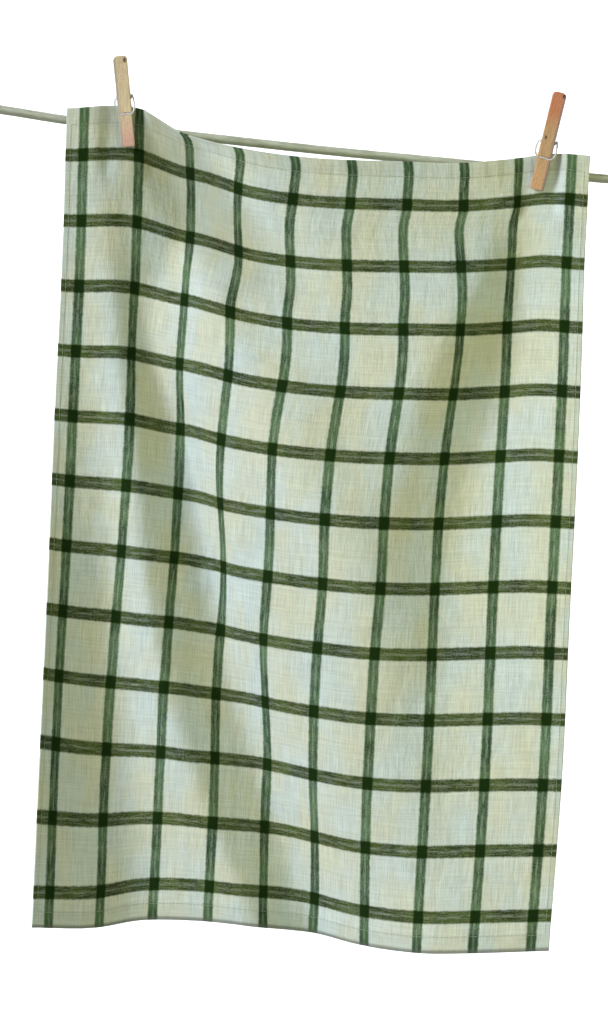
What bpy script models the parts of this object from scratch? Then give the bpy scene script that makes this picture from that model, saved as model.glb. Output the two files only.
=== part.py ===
"""A woven tea towel hung by its top corners from two wooden spring pegs on a washing line.

Metres, +Z up. The line runs along X, the towel's face looks to -Y. The origin is the middle of the
line's left eye. The pieces are placed in the towel's own frame, whose x is 0 midway between the top
corners and whose z is 0 at the top left corner, through an empty that all of them hang from.
"""

import math
from typing import NamedTuple

import bmesh
import bpy
import numpy as np
from mathutils import Matrix, Vector

MM = 0.001
GAP = 0.3 * MM  # between two pieces that touch

# The towel, flat as it was cut.
TOWEL_WIDTH = 0.500
TOWEL_LENGTH = 0.700
TOWEL_THICKNESS = 1.5 * MM
TOWEL_COLUMNS = 44
TOWEL_ROWS = 36
FINE_STEPS = 6  # finer steps to each column and row, along which the folds are measured

# The washing line.
LINE_RADIUS = 4.0 * MM
EYE_STEP = 0.006
BINDING_FROM_EYE = 0.034
BINDING_LENGTH = 0.013
BINDING_THICKNESS = 1.6 * MM

# The cloth hangs against the front of the line.
CLOTH_IN_FRONT = LINE_RADIUS + TOWEL_THICKNESS / 2 + 0.65 * MM

# The pegs. A height on a peg is measured from its tip, a depth outwards from its clamping face.
PEG_WIDTH = 0.012
PEG_PIVOT = 0.045
PEG_NOTCH = 0.0165
PEG_NOTCH_RADIUS = 7.0 * MM
PEG_NOTCH_DEPTH = 2.8 * MM
PEG_LINE_SEAT = 2.2 * MM  # from the back half's clamping face to the middle of the line
PEG_BAR = 0.028
PEG_BAR_GROOVE = 1.2 * MM
PEG_BODY_THICKNESS = 8.0 * MM
PEG_CLAMP_IN_FRONT = CLOTH_IN_FRONT + TOWEL_THICKNESS / 2 + GAP + 0.1 * MM
WIRE_RADIUS = 0.75 * MM
COIL_RADIUS = 2.6 * MM
COIL_TURNS = 5
COIL_STEPS = 9  # points to a turn
COIL_SIDE = PEG_WIDTH / 2 + WIRE_RADIUS + 0.4 * MM


class Finish(NamedTuple):
    """What a material looks like."""

    name: str
    colour: tuple
    roughness: float
    metallic: float = 0.0


LINEN = Finish("linen", (0.56, 0.62, 0.48, 1.0), 0.9)
ROPE = Finish("rope", (0.50, 0.52, 0.40, 1.0), 0.85)
TWINE = Finish("twine", (0.42, 0.40, 0.28, 1.0), 0.9)
PALE_WOOD = Finish("pale_wood", (0.74, 0.62, 0.42, 1.0), 0.6)
WARM_WOOD = Finish("warm_wood", (0.62, 0.38, 0.20, 1.0), 0.6)
STEEL = Finish("steel", (0.55, 0.56, 0.58, 1.0), 0.35, 1.0)


class Fold(NamedTuple):
    """One crest or hollow that runs down the towel. Sizes in mm."""

    name: str
    bend: float  # how round it is
    across: tuple  # its place across the flat cloth, at each height of SECTION_DOWN
    toward: tuple  # how far it stands towards the viewer from the pegged corners, likewise


class Ray(NamedTuple):
    """A short ridge that runs out from a peg. Sizes in mm on the flat cloth."""

    start: tuple
    end: tuple
    height: float
    upper_reach: float
    lower_reach: float


class Outline(NamedTuple):
    """A point of the towel's top edge or hem: across the flat cloth, and its height. Sizes in mm."""

    across: float
    height: float


class Lift(NamedTuple):
    """A place where the rows hang higher than even steps would put them. Sizes in mm."""

    across: float
    reach: float
    height: float
    onset: float


class LineEnd(NamedTuple):
    """An eye of the line: its middle, and which way the rope leaves it."""

    side: str
    x: float
    z: float
    inward_deg: float
    tail_side: int  # 1 where the tail lies to the left of that way, -1 to the right


class EyePoint(NamedTuple):
    """A point of the rope round an eye: towards the line, and to the tail's side. Sizes in mm."""

    along: float
    aside: float


class Peg(NamedTuple):
    """A peg: its length, where it crosses the line, how far its top leans to the right, and its wood."""

    side: str
    length: float
    line_x: float
    lean_deg: float
    wood: tuple


SECTION_DOWN = (0, 45, 100, 160, 270, 400, 540, 700)

FOLDS = (
    Fold("left edge", 6, (0, 0, 0, 0, 0, 0, 0, 0), (4, 6, 8, 10, 14, 23, 32, 36)),
    Fold("left hollow", 14, (12, 12, 16, 24, 38, 58, 76, 108), (4, 5, 6, 7, 4, -6, -12, -22)),
    Fold("peg crest", 8, (28, 26, 34, 46, 66, 92, 138, 216), (5, 7, 11, 15, 17, 18, 16, 8)),
    Fold("left valley", 12, (66, 104, 112, 80, 114, 154, 206, 276), (5, -11, -12, -8, -15, -18, -19, -27)),
    Fold("left shoulder", 14, (172, 188, 196, 140, 168, 210, 270, 338), (30, 32, 28, 24, 31, 30, 25, 5)),
    Fold("middle", 40, (250, 252, 256, 262, 268, 286, 316, 382), (30, 37, 43, 51, 58, 53, 42, 26)),
    Fold("right shoulder", 16, (404, 404, 402, 366, 338, 334, 352, 412), (10, 15, 36, 57, 62, 57, 46, 36)),
    Fold("right valley", 12, (430, 440, 438, 430, 408, 392, 396, 432), (2, 4, 8, 15, 28, 37, 42, 38)),
    Fold("right crest", 14, (478, 476, 474, 472, 462, 456, 452, 460), (8, 8, 15, 25, 39, 46, 50, 40)),
    Fold("right edge", 6, (500, 500, 500, 500, 500, 500, 500, 500), (8, 8, 17, 31, 46, 55, 57, 44)),
)

RAYS = (
    Ray((116, 96), (190, 204), 7, 20, 22),
    Ray((150, 120), (370, 480), 11, 40, 36),
)

SIDE_EDGES = (  # the left and right edge's places in x, at each height of SECTION_DOWN, in mm
    (-231.2, -230.2, -228.7, -228.0, -227.7, -225.7, -224.4, -223.3),
    (230.2, 230.2, 229.5, 229.6, 229.7, 229.0, 229.4, 226.4),
)

TOP_EDGE = (
    Outline(0, 0),
    Outline(68, 3),
    Outline(117, -18),
    Outline(165, -28.5),
    Outline(222, -34.5),
    Outline(326, -33.5),
    Outline(378, -31.5),
    Outline(430, -24),
    Outline(460, -18.5),
    Outline(500, -19),
)

HEM = (
    Outline(0, -718),
    Outline(70, -719),
    Outline(110, -713),
    Outline(165, -710),
    Outline(276, -717),
    Outline(320, -723),
    Outline(380, -725),
    Outline(430, -721),
    Outline(500, -714.5),
)

LIFTS = (
    Lift(30, 60, -4, 60),
    Lift(132, 44, 8, 14),
    Lift(190, 80, 7, 260),
    Lift(380, 90, 10, 200),
)

# The bottom left corner is pulled longer than the rest, below this far down.
CORNER_PULL = 0.021
CORNER_PULL_FROM = 0.530
CORNER_PULL_FADE = 0.138
CORNER_PULL_WIDTH = 0.150

# Where each peg holds the cloth flat: half its width, the height below the top edge, and the fades.
PINCH_WIDTH = 0.013
PINCH_FADE = 0.014
PINCH_DOWN = 0.040
PINCH_DOWN_FADE = 0.028
PINCHES_ACROSS = (0.054, 0.453)

PEGS = (
    Peg("left", 0.0785, -0.1785, -8.1, PALE_WOOD),
    Peg("right", 0.0865, 0.1885, 10.7, WARM_WOOD),
)

# The eyes and the line's middle, in the towel's frame: it dips a little at each peg.
LINE_ENDS = (
    LineEnd("left", -0.3356, 0.0061, -6.2, 1),
    LineEnd("right", 0.2930, -0.0342, 178.2, -1),
)
ROPE_ASIDE = (LINE_RADIUS + GAP / 2) / MM  # either rope of an eye from the eye's middle, in mm
EYE_TAIL = (
    EyePoint(42, ROPE_ASIDE),
    EyePoint(26, ROPE_ASIDE),
    EyePoint(19, 6.0),
    EyePoint(12.5, 10.1),
    EyePoint(7.3, 14.2),
    EyePoint(0, 16),
    EyePoint(-8, 13.9),
    EyePoint(-13.9, 8),
)
EYE_END = EyePoint(-16, 0)
LINE_ROUTE = (
    (-0.2900, -0.0030),
    (-0.2385, -0.0086),
    (-0.1785, -0.0136),
    (-0.0780, -0.0202),
    (0.0110, -0.0252),
    (0.0820, -0.0283),
    (0.1885, -0.0335),
    (0.2365, -0.0366),
)
LINE_STEP = 0.018


def smooth_line(stations, values, at):
    """A smooth curve through the values at the stations, read at other places."""
    stations = np.asarray(stations, float)
    values = np.asarray(values, float)
    slopes = np.gradient(values, stations)
    k = np.clip(np.searchsorted(stations, at) - 1, 0, len(stations) - 2)
    step = stations[k + 1] - stations[k]
    t = (at - stations[k]) / step
    start = (2 * t**3 - 3 * t**2 + 1) * values[k] + (t**3 - 2 * t**2 + t) * step * slopes[k]
    end = (3 * t**2 - 2 * t**3) * values[k + 1] + (t**3 - t**2) * step * slopes[k + 1]
    return start + end


def fade(distance, flat, soft):
    """1 within the flat distance, falling smoothly to 0 over the soft one."""
    t = np.clip((distance - flat) / soft, 0, 1)
    return 1 - t * t * (3 - 2 * t)


def fold_depth(u, v):
    """The folds: straight slopes from one crest or hollow to the next, each bend rounded."""
    down = np.array(SECTION_DOWN) * MM
    across = [smooth_line(down, np.array(fold.across) * MM, v) for fold in FOLDS]
    toward = [smooth_line(down, np.array(fold.toward) * MM, v) for fold in FOLDS]
    slopes = [
        (toward[i + 1] - toward[i]) / (across[i + 1] - across[i]) for i in range(len(FOLDS) - 1)
    ]
    depth = toward[0] + slopes[0] * u
    for i in range(1, len(FOLDS) - 1):
        past = u - across[i]
        rounded = (past + np.sqrt(past**2 + (FOLDS[i].bend * MM) ** 2)) / 2
        depth = depth + (slopes[i] - slopes[i - 1]) * rounded
    return depth


def ray_depth(u, v):
    """The short ridges from the pegs: rounded across, and rising and falling along their length."""
    depth = 0 * (u + v)
    for ray in RAYS:
        start = np.array(ray.start) * MM
        run = np.array(ray.end) * MM - start
        length = math.hypot(*run)
        run = run / length
        along = np.clip(((u - start[0]) * run[0] + (v - start[1]) * run[1]) / length, 0, 1)
        off = (u - start[0]) * run[1] - (v - start[1]) * run[0]
        reach = np.where(off > 0, ray.upper_reach, ray.lower_reach) * MM
        depth = depth + ray.height * MM * np.sin(math.pi * along) ** 0.8 * np.exp(-((off / reach) ** 2))
    return depth


def held_flat(u, v):
    """1 where a peg holds the cloth flat, 0 away from both pegs."""
    held = 0 * (u + v)
    for across in PINCHES_ACROSS:
        held = held + fade(abs(u - across), PINCH_WIDTH, PINCH_FADE) * fade(v, PINCH_DOWN, PINCH_DOWN_FADE)
    return held


def row_height(u, v):
    """How high the cloth hangs: from the drooping top edge to the hem, in even steps and a few lifts."""
    top, hem = (
        smooth_line([p.across * MM for p in line], [p.height * MM for p in line], u)
        for line in (TOP_EDGE, HEM)
    )
    share = v / TOWEL_LENGTH
    near_corner = np.clip(1 - u / CORNER_PULL_WIDTH, 0, 1) ** 1.1
    below = np.clip((v - CORNER_PULL_FROM) / CORNER_PULL_FADE, 0, 1) ** 1.2
    height = top * (1 - share) + hem * share + CORNER_PULL * near_corner * (share - below)
    for lift in LIFTS:
        spread = np.exp(-(((u - lift.across * MM) / (lift.reach * MM)) ** 2))
        rising = (1 - np.exp(-v / (lift.onset * MM))) * np.clip(1 - share, 0, 1) ** 0.6
        height = height + lift.height * MM * spread * rising
    return height


def towel_surface():
    """Points of the hung cloth's middle surface, as rows from the top edge down.

    The place across is the arc length of each row: a step of cloth that turns away or slants covers
    less width. Each row then fills the width between the side edges.
    """
    u = np.linspace(0, TOWEL_WIDTH, TOWEL_COLUMNS * FINE_STEPS + 1)[None, :]
    v = np.linspace(0, TOWEL_LENGTH, TOWEL_ROWS * FINE_STEPS + 1)[:, None]
    depth = (fold_depth(u, v) + ray_depth(u, v)) * (1 - held_flat(u, v))
    height = row_height(u, v)
    turn = np.gradient(depth, u[0], axis=1)
    slant = np.gradient(height, u[0], axis=1)
    cover = np.sqrt(np.clip(1 - turn**2 - slant**2, 0.08, 1))
    steps = (cover[:, 1:] + cover[:, :-1]) / 2 * np.diff(u, axis=1)
    run = np.concatenate([np.zeros((len(v), 1)), np.cumsum(steps, axis=1)], axis=1)
    left, right = (smooth_line(np.array(SECTION_DOWN) * MM, np.array(edge) * MM, v) for edge in SIDE_EDGES)
    x = left + run * (right - left) / run[:, -1:]
    points = np.stack([x, -CLOTH_IN_FRONT - depth, height], axis=-1)
    return points[::FINE_STEPS, ::FINE_STEPS]


def material(finish):
    """The material of this finish, made once."""
    made = bpy.data.materials.get(finish.name)
    if made is None:
        made = bpy.data.materials.new(finish.name)
        made.use_nodes = True
        shader = made.node_tree.nodes["Principled BSDF"]
        shader.inputs["Base Color"].default_value = finish.colour
        shader.inputs["Roughness"].default_value = finish.roughness
        shader.inputs["Metallic"].default_value = finish.metallic
    return made


def add_object(name, data, collection, parent, finish):
    """A new object of this data, hung from its parent."""
    made = bpy.data.objects.new(name, data)
    collection.objects.link(made)
    made.parent = parent
    if data is not None:
        data.materials.append(material(finish))
    return made


def add_empty(name, collection, parent, place, turn=(0.0, 0.0, 0.0)):
    """An empty that carries a group of pieces."""
    made = add_object(name, None, collection, parent, None)
    made.location = place
    made.rotation_euler = turn
    return made


def build_towel(collection, hang):
    """The cloth: a grid laid over the folds and thickened."""
    points = towel_surface()
    shape = bmesh.new()
    bmesh.ops.create_grid(shape, x_segments=TOWEL_COLUMNS, y_segments=TOWEL_ROWS, size=0.5)
    for vert in shape.verts:
        column = round((vert.co.x + 0.5) * TOWEL_COLUMNS)
        row = round((0.5 - vert.co.y) * TOWEL_ROWS)
        vert.co = points[row, column]
    mesh = bpy.data.meshes.new("tea_towel")
    shape.to_mesh(mesh)
    shape.free()
    mesh.shade_smooth()
    towel = add_object("tea_towel", mesh, collection, hang, LINEN)
    thick = towel.modifiers.new("thickness", "SOLIDIFY")
    thick.thickness = TOWEL_THICKNESS
    thick.offset = 0.0
    thick.use_even_offset = True


def add_spline(curve, points):
    """A line through the points, added to a curve. Points of a flat outline have no third number."""
    spline = curve.splines.new("POLY")
    spline.points.add(len(points) - 1)
    for target, point in zip(spline.points, points, strict=True):
        target.co[: len(point)] = point
    return spline


def wire(name, points, radius, sides, collection, parent, finish):
    """A round wire or rope along the points, with filled ends."""
    curve = bpy.data.curves.new(name, "CURVE")
    curve.dimensions = "3D"
    curve.bevel_depth = radius
    curve.bevel_resolution = sides
    curve.use_fill_caps = True
    add_spline(curve, points)
    add_object(name, curve, collection, parent, finish)


def even_steps(points, step):
    """The same route with a point every step or so, read from a smooth curve through its points."""
    points = np.asarray(points, float)
    lengths = np.concatenate([[0], np.cumsum(np.linalg.norm(np.diff(points, axis=0), axis=1))])
    at = np.linspace(0, lengths[-1], max(2, round(lengths[-1] / step) + 1))
    return np.stack([smooth_line(lengths, points[:, k], at) for k in range(3)], axis=1)


def at_end(end, along, aside):
    """A place at an eye: this far along the way that the rope leaves, and this far to the tail's side."""
    turn = math.radians(end.inward_deg)
    side = end.tail_side
    x = end.x + along * math.cos(turn) - side * aside * math.sin(turn)
    z = end.z + along * math.sin(turn) + side * aside * math.cos(turn)
    return (x, 0.0, z)


def eye_points(end):
    """One end of the line, from its tail round the eye to where the straight rope starts."""
    back = [EyePoint(point.along, -point.aside) for point in reversed(EYE_TAIL)]
    route = [at_end(end, along * MM, aside * MM) for along, aside in (*EYE_TAIL, EYE_END, *back)]
    return even_steps(route, EYE_STEP)


def line_points():
    """The whole line, from the left tail to the right tail."""
    left, right = (eye_points(end) for end in LINE_ENDS)
    straight = [left[-1], *((x, 0.0, z) for x, z in LINE_ROUTE), right[-1]]
    return [*left[:-1], *even_steps(straight, LINE_STEP), *reversed(right[:-1])]


def build_line(collection, hang):
    """The rope with an eye at each end, and the twine that binds each eye's tail to the rope."""
    wire("washing_line", line_points(), LINE_RADIUS, 3, collection, hang, ROPE)
    for end in LINE_ENDS:
        band = bpy.data.curves.new(f"line_binding_{end.side}", "CURVE")
        band.dimensions = "2D"
        band.fill_mode = "BOTH"
        band.extrude = BINDING_LENGTH / 2
        for radius in (LINE_RADIUS + GAP + BINDING_THICKNESS, LINE_RADIUS + GAP):
            add_spline(band, stadium(radius, LINE_RADIUS + GAP / 2)).use_cyclic_u = True
        made = add_object(f"line_binding_{end.side}", band, collection, hang, TWINE)
        place = Matrix.Translation(at_end(end, BINDING_FROM_EYE, 0.0))
        slope = Matrix.Rotation(-math.radians(end.inward_deg), 4, "Y")
        made.matrix_local = place @ slope @ Matrix.Rotation(math.pi / 2, 4, "Y")


def stadium(radius, offset):
    """Points round two ropes that lie side by side, each this far from the middle."""
    points = []
    for side in (1, -1):
        for step in range(9):
            turn = math.pi * step / 8
            points.append((-side * (offset + radius * math.sin(turn)), side * radius * math.cos(turn)))
    return points


def arc(middle, radius, start_deg, end_deg, steps):
    """Points along an arc in the peg's outline, as (depth, height)."""
    turns = (math.radians(start_deg + (end_deg - start_deg) * k / steps) for k in range(steps + 1))
    return [(middle[0] + radius * math.sin(t), middle[1] - radius * math.cos(t)) for t in turns]


def peg_outline(length):
    """The side view of one wooden half, as (depth, height), from its tip up the clamping face."""
    notch_middle = PEG_NOTCH_DEPTH - PEG_NOTCH_RADIUS
    notch_half = math.degrees(math.acos(-notch_middle / PEG_NOTCH_RADIUS))
    coil_room = COIL_RADIUS + WIRE_RADIUS + 0.35 * MM
    bar_half = WIRE_RADIUS + GAP
    return [
        (1.6 * MM, 0.0),
        (0.0, 5 * MM),
        *arc((notch_middle, PEG_NOTCH), PEG_NOTCH_RADIUS, 90 - notch_half, 90 + notch_half, 8),
        *arc((0.0, PEG_PIVOT), coil_room, 0, 155, 7),
        (9.0 * MM, length - 1 * MM),
        (10.0 * MM, length),
        (13.6 * MM, length),
        (14.4 * MM, length - 1.5 * MM),
        (PEG_BODY_THICKNESS, 0.056),
        (PEG_BODY_THICKNESS, PEG_BAR + bar_half),
        (PEG_BODY_THICKNESS - PEG_BAR_GROOVE, PEG_BAR + bar_half),
        (PEG_BODY_THICKNESS - PEG_BAR_GROOVE, PEG_BAR - bar_half),
        (PEG_BODY_THICKNESS, PEG_BAR - bar_half),
        (PEG_BODY_THICKNESS, 0.022),
        (4.0 * MM, 1 * MM),
        (3.2 * MM, 0.0),
    ]


def peg_half(name, length, facing, tilt, collection, carrier, finish):
    """One wooden half: its side view given the peg's width. facing is -1 for the front half."""
    side_view = bpy.data.curves.new(name, "CURVE")
    side_view.dimensions = "2D"
    side_view.fill_mode = "BOTH"
    side_view.extrude = PEG_WIDTH / 2
    add_spline(side_view, peg_outline(length)).use_cyclic_u = True
    half = add_object(name, side_view, collection, carrier, finish)
    stand = Matrix.Rotation(facing * math.pi / 2, 4, "Z") @ Matrix.Rotation(math.pi / 2, 4, "X")
    half.matrix_local = about_pivot(tilt) @ stand
    weld = half.modifiers.new("weld", "WELD")
    weld.merge_threshold = 0.00001
    ease = half.modifiers.new("eased edges", "BEVEL")
    ease.width = 0.5 * MM
    ease.segments = 1
    ease.limit_method = "ANGLE"
    ease.angle_limit = math.radians(60)


def about_pivot(tilt):
    """A turn about the spring's coil, which swings the tip back."""
    pivot = Vector((0.0, 0.0, PEG_PIVOT))
    return Matrix.Translation(pivot) @ Matrix.Rotation(tilt, 4, "X") @ Matrix.Translation(-pivot)


def back_half_tilt():
    """How far the back half turns, so that its notch comes to the back of the line."""
    line_depth = PEG_CLAMP_IN_FRONT
    reach = math.hypot(PEG_PIVOT - PEG_NOTCH, PEG_LINE_SEAT)
    return math.atan2(PEG_LINE_SEAT, PEG_PIVOT - PEG_NOTCH) + math.asin(line_depth / reach)


def line_height_on_peg(tilt):
    """How high above the tip the line crosses the peg."""
    from_pivot = (PEG_PIVOT - PEG_NOTCH) * math.cos(tilt) + PEG_LINE_SEAT * math.sin(tilt)
    return PEG_PIVOT - from_pivot


def spring_points(tilt):
    """The spring: a bar across the front half, an arm, the coil, an arm and a bar across the back half."""
    bar_depth = PEG_BODY_THICKNESS - PEG_BAR_GROOVE + WIRE_RADIUS + GAP
    bar_end = -PEG_WIDTH / 2 + 1.5 * MM
    front = [
        Vector((bar_end, -bar_depth, PEG_BAR)),
        Vector((0.0, -bar_depth, PEG_BAR)),
        Vector((COIL_SIDE - 1.5 * MM, -bar_depth, PEG_BAR)),
        Vector((COIL_SIDE, -bar_depth + 0.6 * MM, PEG_BAR + 1.2 * MM)),
    ]
    back = [
        about_pivot(tilt) @ Vector((-point.x, -point.y, point.z)) for point in reversed(front)
    ]
    coil = []
    start = math.radians(200)
    sweep = 2 * math.pi * COIL_TURNS + math.radians(140) - tilt
    count = round(COIL_STEPS * sweep / (2 * math.pi))
    for step in range(count + 1):
        share = step / count
        turn = start + sweep * share
        coil.append(
            Vector(
                (
                    COIL_SIDE * (1 - 2 * share),
                    COIL_RADIUS * math.cos(turn),
                    PEG_PIVOT + COIL_RADIUS * math.sin(turn),
                )
            )
        )
    return [*front, *coil, *back]


def build_peg(peg, collection, hang):
    """A closed spring peg over the cloth and the line."""
    tilt = back_half_tilt()
    lean = math.radians(peg.lean_deg)
    rise = line_height_on_peg(tilt)
    xs, zs = zip(*LINE_ROUTE, strict=True)
    line_z = float(smooth_line(xs, zs, np.array(peg.line_x)))
    tip = (peg.line_x - rise * math.sin(lean), -PEG_CLAMP_IN_FRONT, line_z - rise * math.cos(lean))
    carrier = add_empty(f"peg_{peg.side}", collection, hang, tip, (0.0, lean, 0.0))
    for half, facing, turn in (("front", -1, 0.0), ("back", 1, tilt)):
        peg_half(f"peg_{peg.side}_{half}", peg.length, facing, turn, collection, carrier, peg.wood)
    wire(f"peg_{peg.side}_spring", spring_points(tilt), WIRE_RADIUS, 1, collection, carrier, STEEL)


def main():
    for old in list(bpy.data.objects):
        bpy.data.objects.remove(old)
    collection = bpy.data.collections.new("tea_towel_on_line")
    bpy.context.scene.collection.children.link(collection)
    hang = add_empty("hang", collection, None, (-LINE_ENDS[0].x, 0.0, -LINE_ENDS[0].z))
    build_towel(collection, hang)
    build_line(collection, hang)
    for peg in PEGS:
        build_peg(peg, collection, hang)


main()
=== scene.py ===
"""Looks of a woven check tea towel pegged on a washing line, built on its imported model.

Metres, +Z up, the towel's face to -Y. Every piece is worked out in the towel's own frame, whose x is
0 midway between the top corners and whose z is 0 at the top left corner, and then carried to the
model's frame, whose origin is the middle of the line's left eye.
"""

import logging
import math
from collections.abc import Sequence
from dataclasses import dataclass, field
from enum import Enum
from typing import NamedTuple

import bpy
import numpy as np
from mathutils import Matrix, Vector


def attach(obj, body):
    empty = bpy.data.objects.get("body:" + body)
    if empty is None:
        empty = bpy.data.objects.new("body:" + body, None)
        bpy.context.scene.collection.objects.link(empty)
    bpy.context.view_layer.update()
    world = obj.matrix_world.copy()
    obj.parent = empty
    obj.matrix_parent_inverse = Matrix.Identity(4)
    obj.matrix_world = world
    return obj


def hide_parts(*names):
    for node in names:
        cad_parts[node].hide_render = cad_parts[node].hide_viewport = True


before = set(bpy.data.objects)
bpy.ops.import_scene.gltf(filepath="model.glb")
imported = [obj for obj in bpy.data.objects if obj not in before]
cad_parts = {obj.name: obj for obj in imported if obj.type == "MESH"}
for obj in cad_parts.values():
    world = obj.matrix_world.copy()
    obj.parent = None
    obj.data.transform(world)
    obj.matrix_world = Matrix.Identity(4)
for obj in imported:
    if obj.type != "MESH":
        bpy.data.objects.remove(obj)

LOG = logging.getLogger("tea_towel")
MM = 0.001
HANG = np.array([0.3356, 0.0, -0.0061])  # the towel's frame in the model's
BODY = "root"

LINE_RADIUS = 4.0 * MM
GAP = 0.3 * MM
CLOTH_IN_FRONT = 5.4 * MM  # of the middle of the line

Array = np.ndarray
Place = tuple[float, float, float]
Colour = tuple[float, float, float, float]
Material = bpy.types.Material
Node = bpy.types.Node
NodeTree = bpy.types.NodeTree
Socket = bpy.types.NodeSocket
Value = Socket | float | Place | Colour


def srgb(red: float, green: float, blue: float) -> Colour:
    """A colour as the eye reads it, in linear light.

    Args:
        red: How red it is, 0 to 255.
        green: How green.
        blue: How blue.

    Returns:
        The colour, each channel 0 to 1, and an alpha of 1.
    """
    channels = [c / 255 for c in (red, green, blue)]
    linear = [c / 12.92 if c <= 0.04045 else ((c + 0.055) / 1.055) ** 2.4 for c in channels]
    return (linear[0], linear[1], linear[2], 1.0)


# Shapes ------------------------------------------------------------------------------------------


def smooth_line(stations: Sequence[float], values: Sequence[float], at: Array) -> Array:
    """A smooth curve through values at stations: a cubic between each two, with level-fit slopes.

    Args:
        stations: Where the values are given, rising.
        values: The value at each station.
        at: Where to read the curve.

    Returns:
        The curve's value at each place.
    """
    places = np.asarray(stations, float)
    heights = np.asarray(values, float)
    slopes = np.gradient(heights, places)
    k = np.clip(np.searchsorted(places, at) - 1, 0, len(places) - 2)
    step = places[k + 1] - places[k]
    t = (at - places[k]) / step
    start = (2 * t**3 - 3 * t**2 + 1) * heights[k] + (t**3 - 2 * t**2 + t) * step * slopes[k]
    end = (3 * t**2 - 2 * t**3) * heights[k + 1] + (t**3 - t**2) * step * slopes[k + 1]
    return start + end


def lengths_along(path: Array) -> Array:
    """How far along the path each of its points lies, in metres."""
    return np.concatenate([[0], np.cumsum(np.linalg.norm(np.diff(path, axis=0), axis=1))])


def smooth_path(points: Sequence[Sequence[float]], step: float) -> Array:
    """A smooth curve through route points, with a point every step or so.

    Args:
        points: The route's own points, n by 3.
        step: The distance between the points given back, in metres.

    Returns:
        The points of the curve, n by 3.
    """
    route = np.asarray(points, float)
    lengths = lengths_along(route)
    at = np.linspace(0, lengths[-1], max(2, round(lengths[-1] / step) + 1))
    return np.stack([smooth_line(lengths, route[:, k], at) for k in range(3)], axis=1)


def fade(distance: Array, flat: float, soft: float) -> Array:
    """1 within the flat distance, falling smoothly to 0 over the soft one."""
    t = np.clip((distance - flat) / soft, 0, 1)
    return 1 - t * t * (3 - 2 * t)


def soft_noise(u: Array, v: Array, cell: tuple[float, float], seed: int) -> Array:
    """Smooth hills and hollows between -1 and 1: chance heights on a lattice, eased between.

    Args:
        u: The place across, in metres.
        v: The place down, in metres.
        cell: The lattice's step across and down.
        seed: Which chance heights.

    Returns:
        The height at each place.
    """
    across, down = np.broadcast_arrays(u / cell[0] + 4, v / cell[1] + 4)
    size = (int(down.max()) + 3, int(across.max()) + 3)
    heights = np.random.default_rng(seed).uniform(-1, 1, size)
    i, j = down.astype(int), across.astype(int)
    s, t = down - i, across - j
    return blend(heights, i, j, s * s * (3 - 2 * s), t * t * (3 - 2 * t))


def blend(grid: Array, i: Array, j: Array, s: Array, t: Array) -> Array:
    """A grid's value between four of its points.

    Args:
        grid: The grid of values.
        i: Its row before each place.
        j: Its column before each place.
        s: The share of the way to the next row.
        t: The share of the way to the next column.

    Returns:
        The value at each place.
    """
    top = grid[i, j] * (1 - t) + grid[i, j + 1] * t
    bottom = grid[i + 1, j] * (1 - t) + grid[i + 1, j + 1] * t
    return top * (1 - s) + bottom * s


def unit(vectors: Array) -> Array:
    """The vectors at length 1."""
    return vectors / np.maximum(np.linalg.norm(vectors, axis=-1, keepdims=True), 1e-12)


def strips(index: Array) -> Array:
    """The faces between the rows and columns of a grid of point numbers."""
    corners = (index[..., :-1, :-1], index[..., 1:, :-1], index[..., 1:, 1:], index[..., :-1, 1:])
    return np.stack(corners, axis=-1).reshape(-1, 4)


def hoops(index: Array) -> Array:
    """The faces between rings of point numbers, each ring's last point joined to its first."""
    return strips(np.concatenate([index, index[..., :1]], axis=-1))


def closed_skin(rings: int, sides: int) -> list[list[int]]:
    """The faces of rings of points numbered in order, with one face over each end."""
    index = np.arange(rings * sides).reshape(rings, sides)
    return [*hoops(index).tolist(), index[0].tolist(), index[-1, ::-1].tolist()]


class Mesh(NamedTuple):
    """Points and faces worked out as arrays, with a surface place for each point."""

    points: Array
    faces: list[list[int]]
    places: Array


def tube(path: Array, radius: Array | float, sides: int, up: Sequence[float]) -> Mesh:
    """A closed tube: rings of sides points about each path point, and a cap at each end.

    A ring's point is the path's point, plus radius times (cosine of its angle along the sideways
    direction plus sine of it along the upward one). A place is (length along in m, angle in turns).

    Args:
        path: The points along the middle, n by 3.
        radius: The radius at each path point and angle, n by sides, or one number.
        sides: How many points to a ring.
        up: A direction that the path never runs along.

    Returns:
        The mesh, with faces outwards.
    """
    count = len(path)
    tangent = unit(np.gradient(path, axis=0))
    sideways = unit(np.cross(tangent, up))
    upward = np.cross(sideways, tangent)
    turn = np.arange(sides) / sides
    angle = 2 * math.pi * turn
    reach = np.broadcast_to(radius, (count, sides))[..., None]
    rings = path[:, None] + reach * (
        np.cos(angle)[None, :, None] * sideways[:, None] + np.sin(angle)[None, :, None] * upward[:, None]
    )
    places = np.stack(np.broadcast_arrays(lengths_along(path)[:, None], turn[None, :]), axis=-1)
    return Mesh(rings.reshape(-1, 3), closed_skin(count, sides), places.reshape(-1, 2))


def add_object(name: str, data: bpy.types.ID) -> bpy.types.Object:
    """A new object of the scene with this data.

    Args:
        name: The object's name.
        data: Its mesh, lamp or camera.

    Returns:
        The object.
    """
    made = bpy.data.objects.new(name, data)
    bpy.context.scene.collection.objects.link(made)
    return made


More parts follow.
